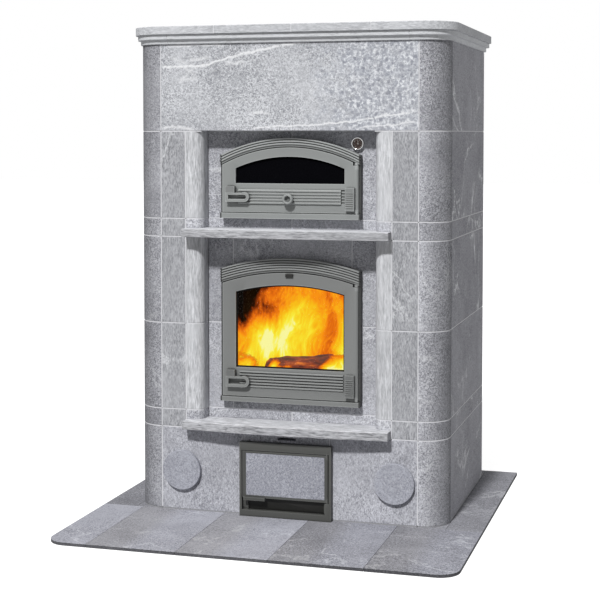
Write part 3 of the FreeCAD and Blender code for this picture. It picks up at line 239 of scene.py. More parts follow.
def stone_group():
    """Soapstone: soft clouds, a lively fine grain, dark and pale flecks and thin veins, from a vector."""
    tree, given, result = make_group("soapstone", [
        ("Vector", "NodeSocketVector", None), ("Grain", "NodeSocketVector", (1, 1, 1)),
        ("Dark", "NodeSocketColor", grey(0.2)), ("Pale", "NodeSocketColor", grey(0.5)),
        ("Tone", "NodeSocketFloat", 0.5), ("Contrast", "NodeSocketFloat", 1.0),
        ("Specks", "NodeSocketFloat", 0.5), ("Veins", "NodeSocketFloat", 0.3),
    ], [("Colour", "NodeSocketColor"), ("Height", "NodeSocketFloat")])
    flow = pushed(tree, given["Vector"], mottle(tree, given["Vector"], 7, 2), 0.015)
    grained = scaled(tree, flow, given["Grain"])
    cloud = mottle(tree, grained, 8, 3, 0.55)
    fine = mottle(tree, grained, 150, 3, 0.7)
    crumb = mottle(tree, grained, 330, 2, 0.7)
    dots = mottle(tree, grained, 210, 1)
    chips = mottle(tree, grained, 170, 2, 0.6)
    patch = mottle(tree, given["Vector"], 5, 4, 0.6)
    lively = ramp(tree, patch.outputs["Fac"], (0.34, grey(0.35)), (0.64, grey(1)))
    flecks = math_node(tree, "MULTIPLY", lively, given["Specks"])
    dark_fleck = ramp(tree, dots.outputs["Fac"], (0.30, grey(1)), (0.43, grey(0)))
    dark_fleck = math_node(tree, "MULTIPLY", dark_fleck, flecks)
    pale_fleck = ramp(tree, chips.outputs["Fac"], (0.56, grey(0)), (0.70, grey(0.8)))
    pale_fleck = math_node(tree, "MULTIPLY", pale_fleck, flecks)
    course = mottle(tree, given["Vector"], 2.6, 7, 0.58, Distortion=0.6)
    ridge = math_node(tree, "ABSOLUTE", math_node(tree, "SUBTRACT", course.outputs["Fac"], 0.5))
    line = ramp(tree, ridge, (0.0, grey(1)), (0.003, grey(0.7)), (0.007, grey(0.15)), (0.022, grey(0)))
    reach = ramp(tree, patch.outputs["Fac"], (0.46, grey(0)), (0.54, grey(1)))
    vein = math_node(tree, "MULTIPLY", math_node(tree, "MULTIPLY", line, reach), given["Veins"])
    soft = math_node(tree, "MULTIPLY_ADD", cloud.outputs["Fac"], 0.5, -0.25)
    rough = math_node(tree, "MULTIPLY_ADD", fine.outputs["Fac"], 1.7, -0.85)
    grit = math_node(tree, "MULTIPLY_ADD", crumb.outputs["Fac"], 2.2, -1.1)
    grain = math_node(tree, "MULTIPLY", math_node(tree, "ADD", rough, grit), lively)
    change = math_node(tree, "ADD", soft, grain)
    tone = math_node(tree, "MULTIPLY_ADD", change, given["Contrast"], given["Tone"], clamp=True)
    body = mix_colour(tree, tone, given["Dark"], given["Pale"])
    body = mix_colour(tree, dark_fleck, body, (0.11, 0.112, 0.128, 1))
    body = mix_colour(tree, pale_fleck, body, (0.72, 0.73, 0.755, 1))
    body = mix_colour(tree, vein, body, (0.80, 0.81, 0.83, 1))
    link(tree, body, result["Colour"])
    high = math_node(tree, "MULTIPLY_ADD", crumb.outputs["Fac"], 0.5, fine.outputs["Fac"])
    link(tree, high, result["Height"])
    return tree


def stone_place(tree):
    """Object coordinates moved apart for each stone, so that no two stones share a pattern."""
    shift = add(tree, "ShaderNodeAttribute", attribute_name="stone_shift")
    total = add(tree, "ShaderNodeVectorMath", operation="ADD")
    link(tree, tree.nodes.new("ShaderNodeTexCoord").outputs["Object"], total.inputs[0])
    link(tree, shift.outputs["Vector"], total.inputs[1])
    return total.outputs[0]


def stone_material(name, dark, pale, grain=(1, 1, 1), contrast=1.0, specks=0.5, veins=0.3):
    """One of the soapstone finishes."""
    made, tree, shader = new_material(name)
    stone = place_group(tree, SOAPSTONE, stone_place(tree), {
        "Grain": grain, "Dark": opaque(dark), "Pale": opaque(pale), "Contrast": contrast, "Specks": specks,
        "Veins": veins})
    tone = add(tree, "ShaderNodeAttribute", attribute_name="stone_tone")
    link(tree, tone.outputs["Fac"], stone.inputs["Tone"])
    link(tree, stone.outputs["Colour"], shader.inputs["Base Color"])
    set_sockets(shader, {"Roughness": 0.8, "Specular IOR Level": 0.08})
    bump(tree, shader, stone.outputs["Height"], 0.3)
    return made


# veins of the lintel: (across, up) points as shares of the stone, then half width and strength
LINTEL_VEINS = (
    (((0.0, 0.735), (0.09, 0.735), (0.14, 0.745), (0.19, 0.76), (0.27, 0.83), (0.36, 0.89), (0.46, 0.95),
      (0.60, 1.02)), 0.020, 1.0),
    (((0.36, 0.02), (0.46, 0.05), (0.60, 0.065), (0.74, 0.10), (0.86, 0.165), (1.0, 0.21)), 0.016, 0.9),
    (((0.78, 0.03), (0.88, 0.06), (1.0, 0.10)), 0.013, 0.8),
    (((0.02, 0.97), (0.12, 0.985), (0.26, 0.98)), 0.02, 0.8),
    (((0.36, 0.20), (0.40, 0.205), (0.44, 0.20)), 0.022, 0.8),
    (((0.0, 0.03), (0.06, 0.05), (0.14, 0.01)), 0.025, 0.7),
    (((0.06, 0.79), (0.09, 0.74), (0.12, 0.67), (0.155, 0.60)), 0.022, 0.45),
    (((0.07, 0.585), (0.10, 0.63), (0.13, 0.71), (0.16, 0.75)), 0.022, 0.45),
    (((0.04, 0.85), (0.07, 0.81), (0.11, 0.77)), 0.024, 0.6),
    (((0.105, 0.80), (0.15, 0.83), (0.205, 0.86)), 0.022, 0.6),
    (((0.07, 0.58), (0.105, 0.595), (0.15, 0.605)), 0.022, 0.5),
    (((0.255, 0.78), (0.30, 0.765), (0.34, 0.79)), 0.024, 0.6),
)


def vein_line(tree, across, up, path, wide, wander):
    """A pale vein that follows a path of (across, up) points, with a width and an unsteady course."""
    course = ramp(tree, across, *[(u, grey(v)) for u, v in path])
    offset = math_node(tree, "SUBTRACT", math_node(tree, "ADD", up, wander), course)
    away = math_node(tree, "ABSOLUTE", offset)
    line = ramp(tree, away, (0.0, grey(1)), (wide * 0.45, grey(0.8)), (wide, grey(0)))
    first, last = path[0][0], path[-1][0]
    ends = ramp(tree, across, (first, grey(0)), (first + 0.015, grey(1)), (last - 0.02, grey(1)),
                (last, grey(0)))
    return math_node(tree, "MULTIPLY", line, ends)


def lintel_material():
    """The lintel's own marking: two long veins, short veins at the left and a pale net at the right."""
    made = stone_material("lintel_stone", (0.28, 0.287, 0.31), (0.66, 0.67, 0.70), contrast=2.1,
                          specks=0.65, veins=0.0)
    tree = made.node_tree
    base = tree.nodes["Principled BSDF"].inputs["Base Color"]
    colour = base.links[0].from_socket
    place, along = axes(tree)
    width = LINTEL_HIGH[0] - LINTEL_LOW[0]
    height = LINTEL_HIGH[2] - LINTEL_LOW[2]
    across = math_node(tree, "MULTIPLY_ADD", along["X"], 1 / width, -LINTEL_LOW[0] / width)
    up = math_node(tree, "MULTIPLY_ADD", along["Z"], 1 / height, -LINTEL_LOW[2] / height)
    drift = mottle(tree, place, 24, 5, 0.65)
    wander = math_node(tree, "MULTIPLY_ADD", drift.outputs["Fac"], 0.10, -0.05)
    tear = mottle(tree, place, 75, 3, 0.7)
    torn = pushed(tree, place, tear, 0.016)
    cells = add(tree, "ShaderNodeTexVoronoi", Scale=58)
    link(tree, torn, cells.inputs["Vector"])
    flecks = mottle(tree, torn, 120, 3, 0.7)
    pebble = ramp(tree, cells.outputs["Distance"], (0.24, grey(1)), (0.42, grey(0)))
    chosen = ramp(tree, cells.outputs["Color"], (0.30, grey(0)), (0.50, grey(1)))
    pebble = math_node(tree, "MULTIPLY", pebble, chosen)
    net = ramp(tree, flecks.outputs["Fac"], (0.38, (0.28, 0.295, 0.34)), (0.50, (0.44, 0.455, 0.50)),
               (0.62, (0.80, 0.815, 0.84)))
    net = mix_colour(tree, pebble, net, (0.22, 0.23, 0.27, 1))
    edge = math_node(tree, "MULTIPLY_ADD", drift.outputs["Fac"], 0.5, across)
    area = ramp(tree, edge, (0.84, grey(0)), (1.10, grey(0.85)))
    patchy = ramp(tree, drift.outputs["Fac"], (0.40, grey(0.6)), (0.56, grey(1)))
    colour = mix_colour(tree, math_node(tree, "MULTIPLY", area, patchy), colour, net)
    broken = ramp(tree, tear.outputs["Fac"], (0.34, grey(0.25)), (0.48, grey(1)))
    for path, wide, strength in LINTEL_VEINS:
        vein = math_node(tree, "MULTIPLY", vein_line(tree, across, up, path, wide, wander), broken)
        vein = math_node(tree, "MULTIPLY", vein, strength)
        colour = mix_colour(tree, vein, colour, (0.78, 0.785, 0.80, 1))
    link(tree, colour, base)
    return made


def corner_material():
    """The corner stones' finish, with painted shade: pale by the front joints, darker where the curve turns
    to the side, and the left corner darker throughout.
    """
    made = stone_material("corner_stone", (0.20, 0.201, 0.222), (0.61, 0.614, 0.655), contrast=1.7,
                          specks=0.42, veins=0.45)
    tree = made.node_tree
    _, along = axes(tree)
    reach = CORNER_HALF - LINTEL_HIGH[0]
    away = math_node(tree, "ABSOLUTE", along["X"])
    turn = math_node(tree, "MULTIPLY_ADD", away, 1 / reach, -LINTEL_HIGH[0] / reach)
    # painted shade: darker as the curve turns away from the front
    tint(made, ramp(tree, turn, (0.10, grey(1)), (0.50, grey(0.76)), (0.75, grey(0.64)), (1.0, grey(0.58))))
    # painted shade: the left corner a shade darker throughout
    from_left = math_node(tree, "ADD", along["X"], 0.5)
    tint(made, ramp(tree, from_left, (0.4, grey(0.84)), (0.6, grey(1))))
    return made


def hearth_material(name):
    return stone_material(name, (0.155, 0.156, 0.173), (0.385, 0.387, 0.418), contrast=1.8, specks=0.25,
                          veins=0.32)


def front_tile_material():
    """The finish of the hearth's front tiles, each darker along its left half."""
    made = hearth_material("hearth_front_stone")
    tree = made.node_tree
    _, along = axes(tree)
    tile = (TILES_HIGH[0] - TILES_LOW[0]) / TILE_COLUMNS
    share = math_node(tree, "FRACT", math_node(tree, "MULTIPLY_ADD", along["X"], 1 / tile, -TILE_START))
    tint(made, ramp(tree, share, (0.0, (0.87, 0.862, 0.855)), (0.36, (0.90, 0.893, 0.888)),
                    (0.56, (1.06, 1.067, 1.10)), (1.0, (1.09, 1.097, 1.13))))
    return made


def mortar_material():
    """Pale mortar in the joints, darker grey near the bottom, where the stones meet the hearth."""
    made, tree, shader = new_material("mortar")
    _, along = axes(tree)
    height = math_node(tree, "MULTIPLY_ADD", along["Z"], 100, -100 * FLOOR)
    colour = ramp(tree, height, (0.5, (0.30, 0.302, 0.315)), (0.7, (0.64, 0.642, 0.665)))
    link(tree, colour, shader.inputs["Base Color"])
    set_sockets(shader, {"Roughness": 0.9})
    return made


# paint, metal and glass

def paint_group():
    """Heat-proof paint on cast metal: a faint cast grain, raised edges made paler by wear and a painted
    highlight, and painted shade in the grooves.
    """
    tree, given, result = make_group("cast_paint", [
        ("Vector", "NodeSocketVector", None), ("Dark", "NodeSocketColor", grey(0.2)),
        ("Pale", "NodeSocketColor", grey(0.3)), ("Wear_and_highlight", "NodeSocketFloat", 0.5),
    ], [("Colour", "NodeSocketColor"), ("Height", "NodeSocketFloat")])
    grain = mottle(tree, given["Vector"], 420, 3)
    paint = mix_colour(tree, grain.outputs["Fac"], given["Dark"], given["Pale"])
    # raised edges made paler: worn paint, and a painted highlight where ridges catch the light
    ridge = add(tree, "ShaderNodeAmbientOcclusion", samples=8, inside=True, Distance=0.005)
    worn_and_lit_edges = ramp(tree, ridge.outputs["AO"], (0.50, grey(1)), (0.88, grey(0)))
    paler = math_node(tree, "MULTIPLY_ADD", worn_and_lit_edges, given["Wear_and_highlight"], 1.0)
    paint = mix_colour(tree, 1.0, paint, paler, "MULTIPLY")
    # painted shade: grooves, gaps and hollows darkened by occlusion, where shade falls
    groove = add(tree, "ShaderNodeAmbientOcclusion", samples=8, Distance=0.011)
    painted_shade = ramp(tree, groove.outputs["AO"], (0.42, grey(0.18)), (0.78, grey(1)))
    link(tree, mix_colour(tree, 1.0, paint, painted_shade, "MULTIPLY"), result["Colour"])
    link(tree, grain.outputs["Fac"], result["Height"])
    return tree


def paint_material(name, colour, rough=0.5, shaded_rims=False):
    """A painted finish. A frame can take painted shade, a dark band along its left and right rims, where its
    sides fall into shade.
    """
    made, tree, shader = new_material(name)
    place, along = axes(tree)
    paint = place_group(tree, CAST_PAINT, place, {
        "Dark": opaque([channel * (1 - PAINT_GRAIN) for channel in colour]),
        "Pale": opaque([channel * (1 + PAINT_GRAIN) for channel in colour]), "Wear_and_highlight": 0.5})
    link(tree, paint.outputs["Colour"], shader.inputs["Base Color"])
    set_sockets(shader, {"Roughness": rough, "Specular IOR Level": 0.3})
    bump(tree, shader, paint.outputs["Height"], 0.12, 0.0004)
    # painted shade: the frame's outer rims darkened as if in shade
    if shaded_rims:
        beyond = math_node(tree, "SUBTRACT", math_node(tree, "ABSOLUTE", along["X"]), FRAME_HALF)
        rim_shade = math_node(tree, "MULTIPLY_ADD", beyond, 150, 1.0)
        tint(made, ramp(tree, rim_shade, (0.20, grey(1)), (0.40, grey(0.14))))
    return made


def plain_material(name, colour, rough=0.6, metallic=0.0, alpha=1.0, specular=0.5):
    made, _, shader = new_material(name)
    set_sockets(shader, {"Base Color": opaque(colour), "Roughness": rough, "Metallic": metallic,
                         "Alpha": alpha, "Specular IOR Level": specular})
    return made


SOAPSTONE = stone_group()
STONE = stone_material("stone", (0.21, 0.212, 0.235), (0.61, 0.615, 0.655), contrast=1.5, specks=0.45,
                       veins=0.5)
BASE_STONE = stone_material("base_stone", (0.21, 0.212, 0.235), (0.58, 0.585, 0.63), grain=(1.1, 1.1, 0.6),
                            contrast=1.4, specks=0.45, veins=0.5)
CORNER_STONE = corner_material()
FLAT_STONE = stone_material("flat_stone", (0.22, 0.224, 0.238), (0.48, 0.485, 0.51), grain=(1.2, 1.2, 0.30),
                            contrast=1.7, specks=0.1, veins=0.5)
JAMB_STONE = stone_material("jamb_stone", (0.345, 0.35, 0.366), (0.70, 0.708, 0.731), grain=(1.0, 1.0, 0.10),
                            contrast=1.25, specks=0.0, veins=0.2)
# the shelf stone comes twice: a paler copy for the tops as painted light, and a darker copy for the upright
# fronts as painted shade
SHELF_STONE_LIT = stone_material("shelf_stone_lit", (0.31, 0.313, 0.33), (0.70, 0.706, 0.735), grain=(0.10, 1.0, 1.0),
                             contrast=1.7, specks=0.05, veins=0.0)
SHELF_FACE_SHADE = stone_material("shelf_face_shade", (0.20, 0.202, 0.213), (0.50, 0.504, 0.525), grain=(0.10, 1.0, 1.0),
                            contrast=1.7, specks=0.05, veins=0.0)
CORNICE_STONE = stone_material("cornice_stone", (0.37, 0.377, 0.395), (0.66, 0.672, 0.695), grain=(0.2, 1, 1),
                               contrast=1.1, specks=0.05, veins=0.0)
SIDE_STONE = stone_material("side_stone", (0.21, 0.21, 0.233), (0.49, 0.49, 0.528), contrast=1.7, veins=0.9,
                            specks=0.5)
HEARTH_STONE = hearth_material("hearth_stone")
HEARTH_FRONT = front_tile_material()
# a near-black copy of the hearth stone for the tiles' upright edges: painted shade
HEARTH_EDGE_SHADE = stone_material("hearth_edge_shade", (0.04, 0.04, 0.045), (0.12, 0.12, 0.13), specks=0.1, veins=0.0)
INLAY_STONE = stone_material("inlay_stone", (0.17, 0.172, 0.20), (0.43, 0.44, 0.49), contrast=1.1, specks=0.4,
                             veins=0.0)
CORE_STONE = stone_material("core_stone", (0.02, 0.018, 0.016), (0.08, 0.07, 0.06), specks=0.2, veins=0.0)
LINTEL_STONE = lintel_material()
MORTAR = mortar_material()
CAST_PAINT = paint_group()
PAINT_GRAIN = 0.09
GREY_PAINT = paint_material("grey_cast_iron", (0.243, 0.253, 0.249))
# the two frames take painted shade along their left and right rims
GREY_FRAME = paint_material("grey_frame", (0.243, 0.253, 0.249), shaded_rims=True)
GREY_BLOCK = paint_material("grey_hinge_block", (0.205, 0.213, 0.210))
GREY_HUB = paint_material("grey_hub", (0.155, 0.160, 0.158))
FIRE_PAINT = paint_material("grey_fire_door", (0.183, 0.188, 0.185))
FIRE_FRAME = paint_material("grey_fire_frame", (0.183, 0.188, 0.185), shaded_rims=True)
FIRE_BLOCK = paint_material("grey_fire_block", (0.135, 0.139, 0.137))
FIRE_HUB = paint_material("grey_fire_hub", (0.11, 0.112, 0.111))
DARK_PAINT = paint_material("dark_steel", (0.066, 0.067, 0.063), 0.45)
BLACK_IRON = paint_material("black_iron", (0.010, 0.010, 0.009))
STEEL = plain_material("satin_steel", (0.45, 0.45, 0.46), 0.35, 1.0)
CHROME = plain_material("chrome", (0.52, 0.52, 0.52), 0.16, 1.0)
ROPE = plain_material("seal_rope", (0.05, 0.05, 0.05), 0.95)
FIRE_GLASS = plain_material("fire_glass", (0.01, 0.01, 0.01), 0.06, alpha=0.03, specular=0.15)
OVEN_GLASS = plain_material("oven_glass", (0.003, 0.003, 0.004), 0.12, alpha=0.94, specular=0.0)
GAUGE_GLASS = plain_material("gauge_glass", (0.1, 0.1, 0.1), 0.05, alpha=0.04, specular=0.2)
BLACK_PRINT = plain_material("black_print", (0.004, 0.004, 0.004), specular=0.1)
DIAL_FACE = plain_material("dial_face", (0.045, 0.020, 0.014), 0.5)
DIAL_MARK = plain_material("dial_mark", (0.75, 0.72, 0.68), 0.5)
NEEDLE = plain_material("needle", (0.85, 0.80, 0.75), 0.4)


# mesh helpers

def mesh_from(name, work, material=None, crease=None):
    """A mesh from a bmesh. With a crease, its faces are smooth up to that angle in degrees."""
    mesh = bpy.data.meshes.new(name)
    work.to_mesh(mesh)
    work.free()
    if material:
        mesh.materials.append(material)
    if crease:
        mesh.shade_smooth()
        mesh.set_sharp_from_angle(angle=math.radians(crease))
    return mesh


def piece_from(name, mesh, body, node=None):
    """A finished piece that rides on a body and the node that it replaces."""
    piece = bpy.data.objects.new(name, mesh)
    bpy.context.scene.collection.objects.link(piece)
    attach(piece, body)
    if node:
        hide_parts(node)
    return piece


def body_of(name):
    return NODES[name]["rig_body"]


def moved(mesh, offset):
    for vertex in mesh.vertices:
        vertex.co += Vector(offset)
    return mesh


def skin(work, rows, closed=True):
    """Faces between rows of vertices, each row a closed ring or an open line."""
    for first, second in zip(rows, rows[1:]):
        for step in range(len(first) if closed else len(first) - 1):
            other = (step + 1) % len(first)
            work.faces.new((first[step], first[other], second[other], second[step]))


def bar_mesh(name, wide, deep, tall, lift=0.0, round_by=0.0):
    """A small bar with rounded edges, lifted along Z."""
    work = bmesh.new()
    bmesh.ops.create_cube(work, size=1)
    for vertex in work.verts:
        vertex.co = (vertex.co.x * wide, vertex.co.y * deep, vertex.co.z * tall + lift)
    if round_by:
        bmesh.ops.bevel(work, geom=work.edges[:], offset=round_by, segments=2, profile=0.5, affect="EDGES")
    return mesh_from(name, work)


def turned(name, material, centre, profile, upright=False, around=48):
    """A turned piece from (radius, place along the axis) points, on the Y axis or upright on the Z axis."""
    work = bmesh.new()
    rings = []
    for radius, depth in profile:
        ring = []
        for step in range(around):
            angle = math.tau * step / around
            first = centre[0] + radius * math.cos(angle)
            second = centre[1] + radius * math.sin(angle)
            ring.append(work.verts.new((first, second, depth) if upright else (first, depth, second)))
        rings.append(ring)
    skin(work, rings)
    work.faces.new(rings[0])
    work.faces.new(list(reversed(rings[-1])))
    bmesh.ops.recalc_face_normals(work, faces=work.faces)
    return mesh_from(name, work, material, 50)


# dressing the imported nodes

def merged_mesh(name):
    """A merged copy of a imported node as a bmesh, with flat areas made whole again."""
    work = bmesh.new()
    work.from_mesh(NODES[name].data)
    bmesh.ops.remove_doubles(work, verts=work.verts, dist=2e-6)
    bmesh.ops.dissolve_limit(work, angle_limit=math.radians(0.4), verts=work.verts, edges=work.edges)
    return work


def islands(work):
    """Sets of the vertices of each separate solid, in order of place."""
    left = set(work.verts)
    found = []
    while left:
        first = left.pop()
        part = {first}
        waiting = [first]
        while waiting:
            vertex = waiting.pop()
            for edge in vertex.link_edges:
                other = edge.other_vert(vertex)
                if other in left:
                    left.discard(other)
                    part.add(other)
                    waiting.append(other)
        found.append(part)
    found.sort(key=lambda part: tuple(round(value, 3) for value in min(v.co[:] for v in part)))
    return found


def dress(name, material, edge, segments=2, tone=0.5, spread=0.12, rim_shade=None, seed="1"):
    """A finished piece for a node: merged, edges rounded, a pattern shift and tone for each solid."""
    work = merged_mesh(name)
    chance = random.Random(name + seed)
    shift_layer = work.verts.layers.float_vector.new("stone_shift")
    tone_layer = work.verts.layers.float.new("stone_tone")
    for part in islands(work):
        shift = Vector((chance.uniform(-9, 9), chance.uniform(-9, 9), chance.uniform(-9, 9)))
        level = tone + chance.uniform(-spread, spread)
        for vertex in part:
            vertex[shift_layer] = shift
            vertex[tone_layer] = level
    sharp = [side for side in work.edges
             if len(side.link_faces) == 2 and side.calc_face_angle(0) > math.radians(32)]
    bmesh.ops.bevel(work, geom=sharp, offset=edge, offset_type="OFFSET", segments=segments, profile=0.5,
                    affect="EDGES", clamp_overlap=True)
    mesh = mesh_from(name + "_look", work, material, 25)
    piece = piece_from(name + "_look", mesh, body_of(name), name)
    # upright faces can take a second, darker material: painted shade
    if rim_shade:
        repaint(piece, rim_shade, lambda face: abs(face.normal.z) < 0.5)
    return piece


def repaint(piece, paint, chosen):
    """Give the faces that are chosen a second material."""
    piece.data.materials.append(paint)
    for face in piece.data.polygons:
        face.material_index = int(chosen(face))


def front_flat(name):
    """Low and high corners of the foremost flat of a node."""
    corners = [vertex.co for vertex in NODES[name].data.vertices]
    front = min(corner.y for corner in corners)
    flat = [corner for corner in corners if corner.y < front + 0.0002]
    low = Vector((min(c.x for c in flat), front, min(c.z for c in flat)))
    high = Vector((max(c.x for c in flat), front, max(c.z for c in flat)))
    return low, high


# stone nodes: finish, tone and how far the tone of single stones strays
STONES = {
    "corner_stones": (CORNER_STONE, 0.50, 0.05),
    "flat_stones": (FLAT_STONE, 0.50, 0.10),
    "jamb_stones": (JAMB_STONE, 0.50, 0.08),
    "side_stones": (SIDE_STONE, 0.50, 0.10),
    "back_stones": (SIDE_STONE, 0.50, 0.08),
    "lintel_stone": (LINTEL_STONE, 0.50, 0.0),
    "fire_surround_stones": (STONE, 0.50, 0.08),
    "oven_surround_stones": (STONE, 0.52, 0.06),
    "strip_stones": (STONE, 0.54, 0.06),
    "base_stones": (BASE_STONE, 0.50, 0.06),
    "ash_lintel_stone": (BASE_STONE, 0.50, 0.0),
    # the mouldings take a much paler tone than the slabs of the same stone: painted light on faces that their
    # steps shade
    "cornice_mouldings": (CORNICE_STONE, 0.88, 0.04),
    "top_slabs": (CORNICE_STONE, 0.50, 0.08),
    "soot_plug_left": (INLAY_STONE, 0.70, 0.0),
    "soot_plug_right": (INLAY_STONE, 0.70, 0.0),
    "ash_door_inlay": (INLAY_STONE, 0.55, 0.0),
    "flue_stone": (SIDE_STONE, 0.50, 0.0),
}
# metal nodes: finish, rounded edge and slot
METALS = {
    "oven_door_frame": (GREY_FRAME, CAST_EDGE, "cast_iron"),
    "oven_air_slide": (GREY_PAINT, CAST_EDGE, "cast_iron"),
    "fire_door_frame": (FIRE_FRAME, CAST_EDGE, "cast_iron"),
    "ash_door_frame": (DARK_PAINT, SHEET_EDGE, "dark_steel"),
    "ash_door_leaf": (DARK_PAINT, SHEET_EDGE, "dark_steel"),
    # the air baffle is near-black iron, darker than its steel also as painted shade for the recess it sits in
    "ash_air_baffle": (BLACK_IRON, SHEET_EDGE, "dark_steel"),
    "fire_door_catch": (BLACK_IRON, CATCH_EDGE, "dark_iron"),
    "thermometer_case": (CHROME, CASE_EDGE, "chrome"),
}
# nodes shown as they are
PLAIN = {
    "mortar_joints": MORTAR, "core_walls": CORE_STONE, "firebox_floor": CORE_STONE,
    "oven_floor_stone": CORE_STONE, "oven_vault": CORE_STONE, "ceiling_slab": CORE_STONE,
    "fire_grate": BLACK_IRON, "ash_pan": DARK_PAINT, "flue_collar": BLACK_IRON,
    "fire_latch_tongue": STEEL, "oven_latch_tongue": STEEL,
    "fire_glass_retainer": STEEL, "oven_glass_retainer": STEEL,
    "fire_door_rope": ROPE, "oven_door_rope": ROPE, "fire_glass_rope": ROPE, "oven_glass_rope": ROPE,
    "fire_glass": FIRE_GLASS, "oven_glass": OVEN_GLASS,
    "thermometer_dial": DIAL_FACE, "thermometer_glass": GAUGE_GLASS, "thermometer_needle": NEEDLE,
}
# the two arched doors: main paint, paint of the hinge block, paint of the handle's hub
DOORS = {"oven": (GREY_PAINT, GREY_BLOCK, GREY_HUB), "fire": (FIRE_PAINT, FIRE_BLOCK, FIRE_HUB)}
BLOCK_FACE = 0.003
HUB_TALL = 0.017

for node_name, (material, tone, spread) in STONES.items():
    dress(node_name, material, STONE_EDGE, tone=tone, spread=spread)
# the shelves' tops take the paler stone and their upright faces the darker one: painted light and painted
# shade
for node_name in ("upper_shelf", "lower_shelf"):
    dress(node_name, SHELF_STONE_LIT, STONE_EDGE, spread=0.0, rim_shade=SHELF_FACE_SHADE)
# the hearth's upright edges take the near-black edge stone: painted shade
for node_name, material in (("hearth_front_tiles", HEARTH_FRONT), ("hearth_side_tiles", HEARTH_STONE),
                            ("hearth_base_plate", HEARTH_STONE)):
    dress(node_name, material, TILE_EDGE, 1, spread=0.26, rim_shade=HEARTH_EDGE_SHADE, seed="6")
for node_name, (material, edge, slot) in METALS.items():
    dress(node_name, material, edge)
for door, (paint, block_paint, hub_paint) in DOORS.items():
    leaf = dress(door + "_door_leaf", paint, CAST_EDGE)
    block_back = front_flat(door + "_door_leaf")[0].y + BLOCK_FACE
    repaint(leaf, block_paint, lambda face: face.center.y < block_back)
    handle = dress(door + "_door_handle", paint, CAST_EDGE)
    hub_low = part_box(door + "_door_handle")[1][2] - HUB_TALL
    repaint(handle, hub_paint, lambda face: face.center.z > hub_low)
for node_name, material in PLAIN.items():
    NODES[node_name].data.materials.clear()
    NODES[node_name].data.materials.append(material)


# fire

def fire_material(name, clear, full):
    """Flame colours by the heat stored on the sheet, clear below one heat and full above another."""
    made, tree, shader = new_material(name)
    heat = add(tree, "ShaderNodeAttribute", attribute_name="flame_heat").outputs["Fac"]
    colour = ramp(tree, heat, (0.0, (0.002, 0.001, 0.001)), (0.14, (0.03, 0.006, 0.002)),
                  (0.30, (0.30, 0.045, 0.004)), (0.44, (0.80, 0.15, 0.006)), (0.56, (1.0, 0.30, 0.008)),
                  (0.70, (1.0, 0.52, 0.010)), (0.83, (1.0, 0.74, 0.025)), (0.93, (1.0, 0.89, 0.06)),
                  (1.0, (1.0, 0.97, 0.36)))
    set_sockets(shader, {"Base Color": grey(0), "Specular IOR Level": 0, "Emission Strength": 1.0})
    link(tree, colour, shader.inputs["Emission Color"])
    link(tree, ramp(tree, heat, (clear, grey(0)), (full, grey(1))), shader.inputs["Alpha"])
    return made


def ember_material():
    """Charred wood with cracks that glow."""
    made, tree, shader = new_material("embers")
    place, _ = axes(tree)
    cloud = mottle(tree, scaled(tree, place, (0.45, 1, 1.6)), 26, 6, 0.65)
    glow = ramp(tree, cloud.outputs["Fac"], (0.34, (0.012, 0.002, 0.001)), (0.48, (0.09, 0.010, 0.003)),
                (0.58, (0.28, 0.035, 0.004)), (0.72, (0.90, 0.22, 0.01)))
    set_sockets(shader, {"Base Color": (0.03, 0.022, 0.018, 1), "Roughness": 0.95, "Emission Strength": 1.0})
    link(tree, glow, shader.inputs["Emission Color"])
    bump(tree, shader, cloud.outputs["Fac"], 0.6, 0.004)
    return made


# soft bodies of the fire: across, up, half width, half height, change of heat
LOBES = (
    (0.25, 0.28, 0.13, 0.20, 0.38), (0.52, 0.46, 0.13, 0.32, 0.18), (0.60, 0.95, 0.24, 0.12, 0.08),
    (0.96, 0.24, 0.08, 0.17, 0.48), (0.05, 0.05, 0.06, 0.14, 0.26), (0.40, 0.18, 0.16, 0.12, 0.06),
    (0.10, 0.97, 0.16, 0.16, -0.72), (0.03, 0.72, 0.10, 0.22, -0.78), (0.12, 0.33, 0.10, 0.16, 0.10),
    (0.38, 0.46, 0.10, 0.18, 0.24), (0.78, 0.42, 0.10, 0.28, -0.20), (0.95, 0.74, 0.12, 0.18, -0.20),
    (0.70, 0.16, 0.14, 0.06, -0.12), (0.86, 0.88, 0.10, 0.12, 0.04), (0.20, 0.62, 0.08, 0.13, -0.24),
)
# low tongues in front of the wood
FRONT_LOBES = (
    (0.04, 0.15, 0.14, 0.55, 0.95), (0.35, 0.10, 0.07, 0.60, 0.95), (0.49, 0.00, 0.06, 0.45, 0.80),
    (0.80, 0.15, 0.10, 0.55, 0.95), (0.96, 0.25, 0.09, 0.60, 1.00), (0.64, -0.05, 0.10, 0.16, 0.65),
)
# logs on the coals: two ends in metres, radius, seed of the bark
LOGS = {
    "log_left": ((-0.13, 0.06, 0.385), (0.02, -0.03, 0.395), 0.036, 1.0),
    "log_middle": ((-0.05, 0.14, 0.385), (0.15, 0.02, 0.39), 0.040, 5.0),
    "log_front": ((-0.125, -0.03, 0.441), (0.15, -0.05, 0.474), 0.030, 9.0),
    "log_tip": ((0.085, -0.02, 0.47), (0.178, -0.062, 0.508), 0.014, 3.0),
}
MOUTH_HALF = 0.184
FLAME_LOW = FIRE_LOW[2] - 0.015
FLAME_HIGH = FIRE_HIGH[2] + 0.01
FRONT_FLAME_HIGH = FIRE_LOW[2] + 0.075


def swirl(across, up, depth):
    return noise.noise(Vector((across, up, depth)))


